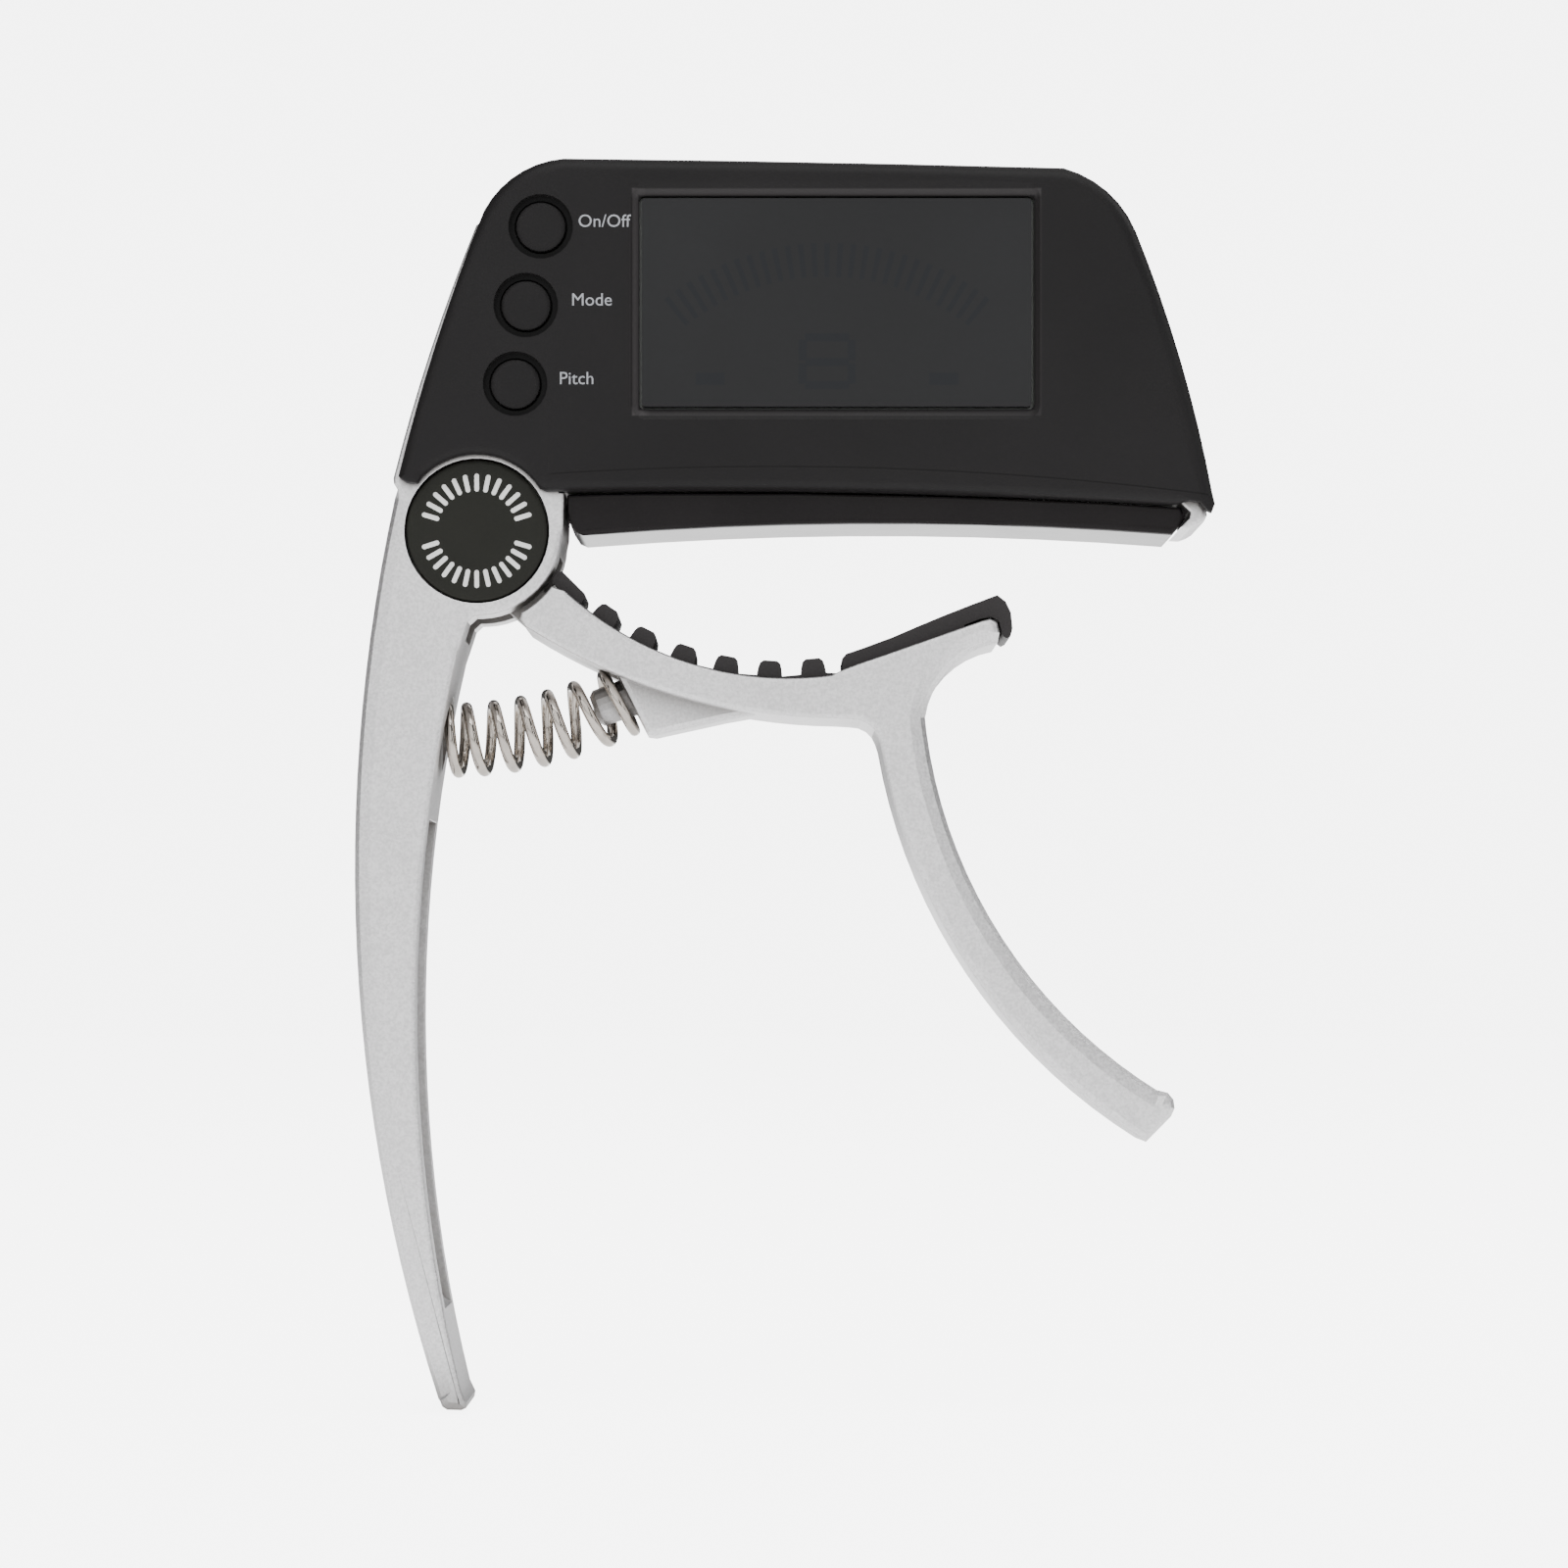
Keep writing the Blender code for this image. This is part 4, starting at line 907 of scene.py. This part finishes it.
class TUNER_OT_labels(bpy.types.Operator):
    """Prints a plain word beside each button"""

    bl_idname = "tuner.labels"
    bl_label = "Button words"

    def execute(self, context):
        settings = context.scene.tuner_labels
        # each word, and how far right of its button it starts, in mm
        offsets = {
            "power_button": (settings.power, 3.5),
            "mode_button": (settings.mode, 4.25),
            "pitch_button": (settings.pitch, 4.1),
        }
        all_points, all_faces, count = [], [], 0
        for name, (word, offset) in offsets.items():
            curve = bpy.data.curves.new("word", "FONT")
            curve.body = word
            curve.size = settings.height
            curve.extrude = 0.02 * MM
            curve.resolution_u = 4
            curve.align_y = "CENTER"
            holder = bpy.data.objects.new("word", curve)
            context.scene.collection.objects.link(holder)
            context.view_layer.update()
            finished = holder.evaluated_get(context.evaluated_depsgraph_get())
            flat = bpy.data.meshes.new_from_object(finished)
            points = np.empty(len(flat.vertices) * 3)
            flat.vertices.foreach_get("co", points)
            points = points.reshape(-1, 3)
            place = node_middle(name) + np.array([offset, 0, 0.45]) * MM
            upright = np.stack([points[:, 0], -points[:, 2], points[:, 1]], -1)
            all_points.append(upright + np.array([place[0], HEAD_FRONT - 0.012 * MM, place[2]]))
            all_faces += [[v + count for v in polygon.vertices] for polygon in flat.polygons]
            count += len(points)
            bpy.data.objects.remove(holder)
            bpy.data.meshes.remove(flat)
            bpy.data.curves.remove(curve)
        ink = simple_finish(
            "grey_ink", tuple(settings.colour), 0.5, specular=0.3, spread=0.12,
            grain=9000.0, depth=0.1, tone=900.0,
        )
        points = np.concatenate(all_points)
        labels = make_piece("button_words", points, all_faces, ink, "fixed_frame", smooth=False)
        outward(labels)
        return {"FINISHED"}


def screw_points(middle, back, settings):
    """A pan-head screw with a cross recess, looked at from +Y.

    The head's height falls with the square of the radius. The cross takes the recess depth off where the
    smaller of the two distances to its arms is under the arm's width, and tapers to nothing at the arm's end.
    """
    radius, head, shank, length = 1.5 * MM, 0.8 * MM, 0.75 * MM, 11.0 * MM
    around = 72
    share = np.concatenate([np.linspace(0.02, 0.92, 22), [0.97, 1.0]])
    angle = np.arange(around) * math.tau / around
    r, a = np.meshgrid(share * radius, angle, indexing="ij")
    x, z = r * np.cos(a), r * np.sin(a)
    dome = back - 0.35 * MM * (r / radius) ** 2
    near = np.minimum(np.abs(x), np.abs(z))
    far = np.maximum(np.abs(x), np.abs(z))
    wall, taper = 0.1 * MM, 0.45 * MM
    cut = np.clip((settings.arm_width - near) / wall + 0.5, 0, 1)
    cut = cut * np.clip((settings.arm_length - far) / taper, 0, 1)
    y = dome - settings.recess * cut
    tip = (0.3 * MM, back - length - 0.5 * MM)
    sides = np.array([(radius, back - head), (shank, back - head), (shank, back - length), tip])
    size, level = sides[:, :1], np.repeat(sides[:, 1:], around, axis=1)
    lower = np.stack([size * np.cos(angle), level, size * np.sin(angle)], -1)
    points = np.concatenate([np.stack([x, y, z], -1), lower]) + np.array([middle[0], 0, middle[2]])
    count = len(points)
    faces = grid_faces(count, around).tolist()
    faces += [list(range(around))[::-1], [(count - 1) * around + i for i in range(around)]]
    return points.reshape(-1, 3), faces


class TUNER_OT_screws(bpy.types.Operator):
    """Makes the four case screws, with their cross recesses"""

    bl_idname = "tuner.screws"
    bl_label = "Case screws"

    def execute(self, context):
        settings = context.scene.tuner_screws
        steel = simple_finish(
            "zinc_screw_steel", (0.42, 0.42, 0.43), 0.3, 1.0, spread=0.15,
            grain=9000.0, depth=0.12, tone=900.0,
        )
        for index in range(1, 5):
            node = f"case_screw_{index}"
            points, faces = screw_points(node_middle(node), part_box(node)[1].y, settings)
            screw = make_piece(f"cross_screw_{index}", points, faces, steel, "fixed_frame")
            outward(screw)
            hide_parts(node)
        return {"FINISHED"}


class TUNER_OT_door(bpy.types.Operator):
    """Raises a plus sign and three short turning marks on the battery door"""

    bl_idname = "tuner.door"
    bl_label = "Battery door marks"

    def execute(self, context):
        settings = context.scene.tuner_door
        low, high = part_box("battery_door")
        middle = node_middle("battery_door")
        radius = (high.x - low.x) / 2
        # each stroke's place as a share of the radius, and its angle in degrees
        marks = np.array([
            (0.0, 0.55, 0.0), (0.0, 0.55, 90.0),
            (0.0, -0.62, 90.0), (-0.62, -0.42, 55.0), (0.62, -0.42, -55.0),
        ])
        turn = np.radians(marks[:, 2])
        nothing = np.zeros_like(turn)
        places = np.stack([marks[:, 0] * radius, nothing, marks[:, 1] * radius], -1)
        places = places + np.array([middle[0], 0, middle[2]])
        along = np.stack([np.cos(turn), nothing, np.sin(turn)], -1)
        across = np.stack([-np.sin(turn), nothing, np.cos(turn)], -1)
        sunk, proud = high.y - 0.05 * MM, high.y + 0.12 * MM
        points, faces = pill_points(places, along, across, settings.size, settings.width, sunk, proud)
        case = bpy.data.materials["black_case_moulding"]
        raised = make_piece("door_marks", points, faces, case, "battery_door")
        outward(raised)
        return {"FINISHED"}


class TUNER_OT_inside(bpy.types.Operator):
    """Gives the parts inside the case their finishes"""

    bl_idname = "tuner.inside"
    bl_label = "Inside parts"

    def execute(self, context):
        finishes = {
            "panel_glass": ((0.16, 0.18, 0.16), 0.25, 0.0, ("display_panel",)),
            "clear_acrylic": ((0.85, 0.86, 0.84), 0.2, 0.0, ("light_guide",)),
            "pink_silicone": ((0.75, 0.42, 0.50), 0.6, 0.0, ("display_connector",)),
            "green_board": ((0.015, 0.12, 0.045), 0.4, 0.0, ("circuit_board",)),
            "chip_epoxy": ((0.018, 0.018, 0.019), 0.5, 0.0, ("processor", "amplifier")),
            "tinned_can": ((0.62, 0.62, 0.60), 0.25, 1.0, ("crystal", "switch_1", "switch_2", "switch_3")),
            "ceramic_body": ((0.50, 0.33, 0.17), 0.5, 0.0, ("capacitor_1", "capacitor_2")),
            "pickup_brass": ((0.80, 0.60, 0.28), 0.3, 1.0, ("pickup_disc",)),
            "cell_steel": ((0.66, 0.66, 0.65), 0.22, 1.0, ("coin_cell",)),
            "nickel_strip": ((0.68, 0.65, 0.58), 0.25, 1.0, ("minus_contact", "plus_contact")),
            "cradle_moulding": ((0.05, 0.05, 0.05), 0.5, 0.0, ("battery_cradle",)),
            "board_screw_steel": ((0.45, 0.45, 0.46), 0.3, 1.0, ("board_screw_1", "board_screw_2")),
        }
        for name, (colour, roughness, metallic, nodes) in finishes.items():
            made = simple_finish(
                name, colour, roughness, metallic, spread=0.08, grain=6000.0, depth=0.1, tone=260.0
            )
            wear(made, *nodes, split=None)
        return {"FINISHED"}


# ---------------------------------------------------------------- stage


class TUNER_OT_stage(bpy.types.Operator):
    """Makes the pale floor, the soft lights and the camera"""

    bl_idname = "tuner.stage"
    bl_label = "Stage"

    def floor(self, settings, level):
        """A pale flat floor, which glows under the object and fades to the room's own light further out.

        The radius of its rings grows as their share of the way out to the power of 1.5.
        """
        rings, around, floor_radius, stage_middle = 12, 96, 4.0, 27.0
        radius = np.linspace(0.0, 1.0, rings) ** 1.5 * floor_radius + MM
        angle = np.arange(around) * math.tau / around
        flat = radius[:, None]
        points = np.stack([flat * np.cos(angle), flat * np.sin(angle), np.full((rings, around), level)], -1)
        faces = grid_faces(rings, around).tolist() + [list(range(around))[::-1]]
        shade = Shader("pale_floor", Roughness=0.8, Specular_IOR_Level=0.1)
        shade.shader.inputs["Base Color"].default_value = (0.8, 0.8, 0.8, 1.0)
        shade.shader.inputs["Emission Color"].default_value = (1.0, 1.0, 1.0, 1.0)
        seen = shade.nodes.new("ShaderNodeLightPath")
        x, y, _ = shade.place()
        away = shade.distance(x, y, (stage_middle, 0.0))
        glow = shade.ramp(away, 120.0, settings.floor_reach, settings.floor_light, settings.room_light)
        card = shade.ramp(shade.apart(x, stage_middle), 110.0, 170.0, settings.card_light, 0.0)
        glow = shade.math("ADD", glow, shade.times(card, shade.ramp(y, 150.0, 400.0)))
        hidden = shade.math("SUBTRACT", 1.0, seen.outputs["Is Camera Ray"])
        shown = shade.times(seen.outputs["Is Camera Ray"], settings.backdrop)
        glow = shade.math("MULTIPLY_ADD", glow, hidden, shown)
        shade.links.new(glow, shade.shader.inputs["Emission Strength"])
        floor = make_piece("floor", points.reshape(-1, 3), faces, shade.material)
        outward(floor)

    def light(self, name, place, aim, size, power):
        """A rectangular lamp that faces its aim."""
        lamp = bpy.data.lights.new(name, "AREA")
        lamp.shape = "RECTANGLE"
        lamp.size, lamp.size_y = size
        lamp.energy = power
        holder = bpy.data.objects.new(name, lamp)
        holder.location = place
        holder.rotation_euler = (Vector(place) - Vector(aim)).to_track_quat("Z", "Y").to_euler()
        bpy.context.scene.collection.objects.link(holder)

    def execute(self, context):
        settings = context.scene.tuner_stage
        self.floor(settings, CAD_BOX[0].z - 0.4 * MM)
        world = bpy.data.worlds.new("studio")
        world.use_nodes = True
        nodes, links = world.node_tree.nodes, world.node_tree.links
        seen = nodes.new("ShaderNodeLightPath")
        strength = nodes.new("ShaderNodeMapRange")
        strength.inputs["To Min"].default_value = settings.room_light
        strength.inputs["To Max"].default_value = settings.backdrop
        links.new(seen.outputs["Is Camera Ray"], strength.inputs["Value"])
        nodes["Background"].inputs["Color"].default_value = (1.0, 1.0, 1.0, 1.0)
        links.new(strength.outputs["Result"], nodes["Background"].inputs["Strength"])
        context.scene.world = world
        front, strip, middle = settings.front_light, settings.strip_light, (0, 0, 0)
        for lamp in (
            ("front_light", (-0.25, -1.45, 0.55), (0, 0, -0.03), (1.7, 1.3), front),
            ("rim_light", (0.9, 0.12, 0.75), (0.02, 0, 0.01), (0.5, 0.5), strip),
            ("right_strip", (1.15, -1.15, 0.1), middle, (0.14, 1.4), strip),
            ("left_strip", (-1.25, -1.05, 0.1), middle, (0.14, 1.4), strip),
            ("upper_strip", (0.0, -1.0, 1.25), middle, (1.4, 0.14), strip),
            ("top_light", (0.05, -0.35, 1.1), (0.01, 0, 0), (1.2, 0.7), settings.top_light),
            ("back_light", (0.3, 1.0, 1.3), middle, (0.9, 0.9), front * 0.3),
        ):
            self.light(*lamp)
        lens = bpy.data.cameras.new("camera")
        lens.sensor_width = 36.0
        lens.lens = 107.03
        lens.shift_x, lens.shift_y = 0.0108, 0.1345
        lens.clip_start, lens.clip_end = 0.01, 50.0
        camera = bpy.data.objects.new("camera", lens)
        camera.location = (-0.0109, -0.447, -0.044537)
        camera.rotation_euler = (math.pi / 2, 0.0, 0.0)
        context.scene.collection.objects.link(camera)
        context.scene.camera = camera
        return {"FINISHED"}


# ---------------------------------------------------------------- add-on

SETTINGS = {
    "tuner_castings": CastingSettings,
    "tuner_shells": ShellSettings,
    "tuner_display": DisplaySettings,
    "tuner_pads": RubberSettings,
    "tuner_spring": SpringSettings,
    "tuner_cap_marks": CapMarkSettings,
    "tuner_labels": LabelSettings,
    "tuner_screws": ScrewSettings,
    "tuner_door": DoorSettings,
    "tuner_stage": StageSettings,
}
OPERATORS = (
    TUNER_OT_stage,
    TUNER_OT_castings,
    TUNER_OT_shells,
    TUNER_OT_buttons,
    TUNER_OT_display,
    TUNER_OT_pads,
    TUNER_OT_pivot,
    TUNER_OT_spring,
    TUNER_OT_cap_marks,
    TUNER_OT_labels,
    TUNER_OT_screws,
    TUNER_OT_door,
    TUNER_OT_inside,
)


class TUNER_PT_panel(bpy.types.Panel):
    """Lists the pieces of the tuner and their settings"""

    bl_idname = "TUNER_PT_panel"
    bl_label = "Clip-on tuner"
    bl_space_type = "VIEW_3D"
    bl_region_type = "UI"
    bl_category = "Tuner"

    def draw(self, context):
        for name, group in SETTINGS.items():
            box = self.layout.box()
            box.label(text=group.__doc__)
            for setting in group.__annotations__:
                box.prop(getattr(context.scene, name), setting)
        for operator in OPERATORS:
            self.layout.operator(operator.bl_idname)


def register():
    for name, group in SETTINGS.items():
        bpy.utils.register_class(group)
        setattr(bpy.types.Scene, name, PointerProperty(type=group))
    for part in (*OPERATORS, TUNER_PT_panel):
        bpy.utils.register_class(part)


def unregister():
    for part in (TUNER_PT_panel, *reversed(OPERATORS)):
        bpy.utils.unregister_class(part)
    for name, group in reversed(list(SETTINGS.items())):
        delattr(bpy.types.Scene, name)
        bpy.utils.unregister_class(group)


def main():
    register()
    for operator in OPERATORS:
        group, name = operator.bl_idname.split(".")
        getattr(getattr(bpy.ops, group), name)()


if __name__ == "__main__":
    main()
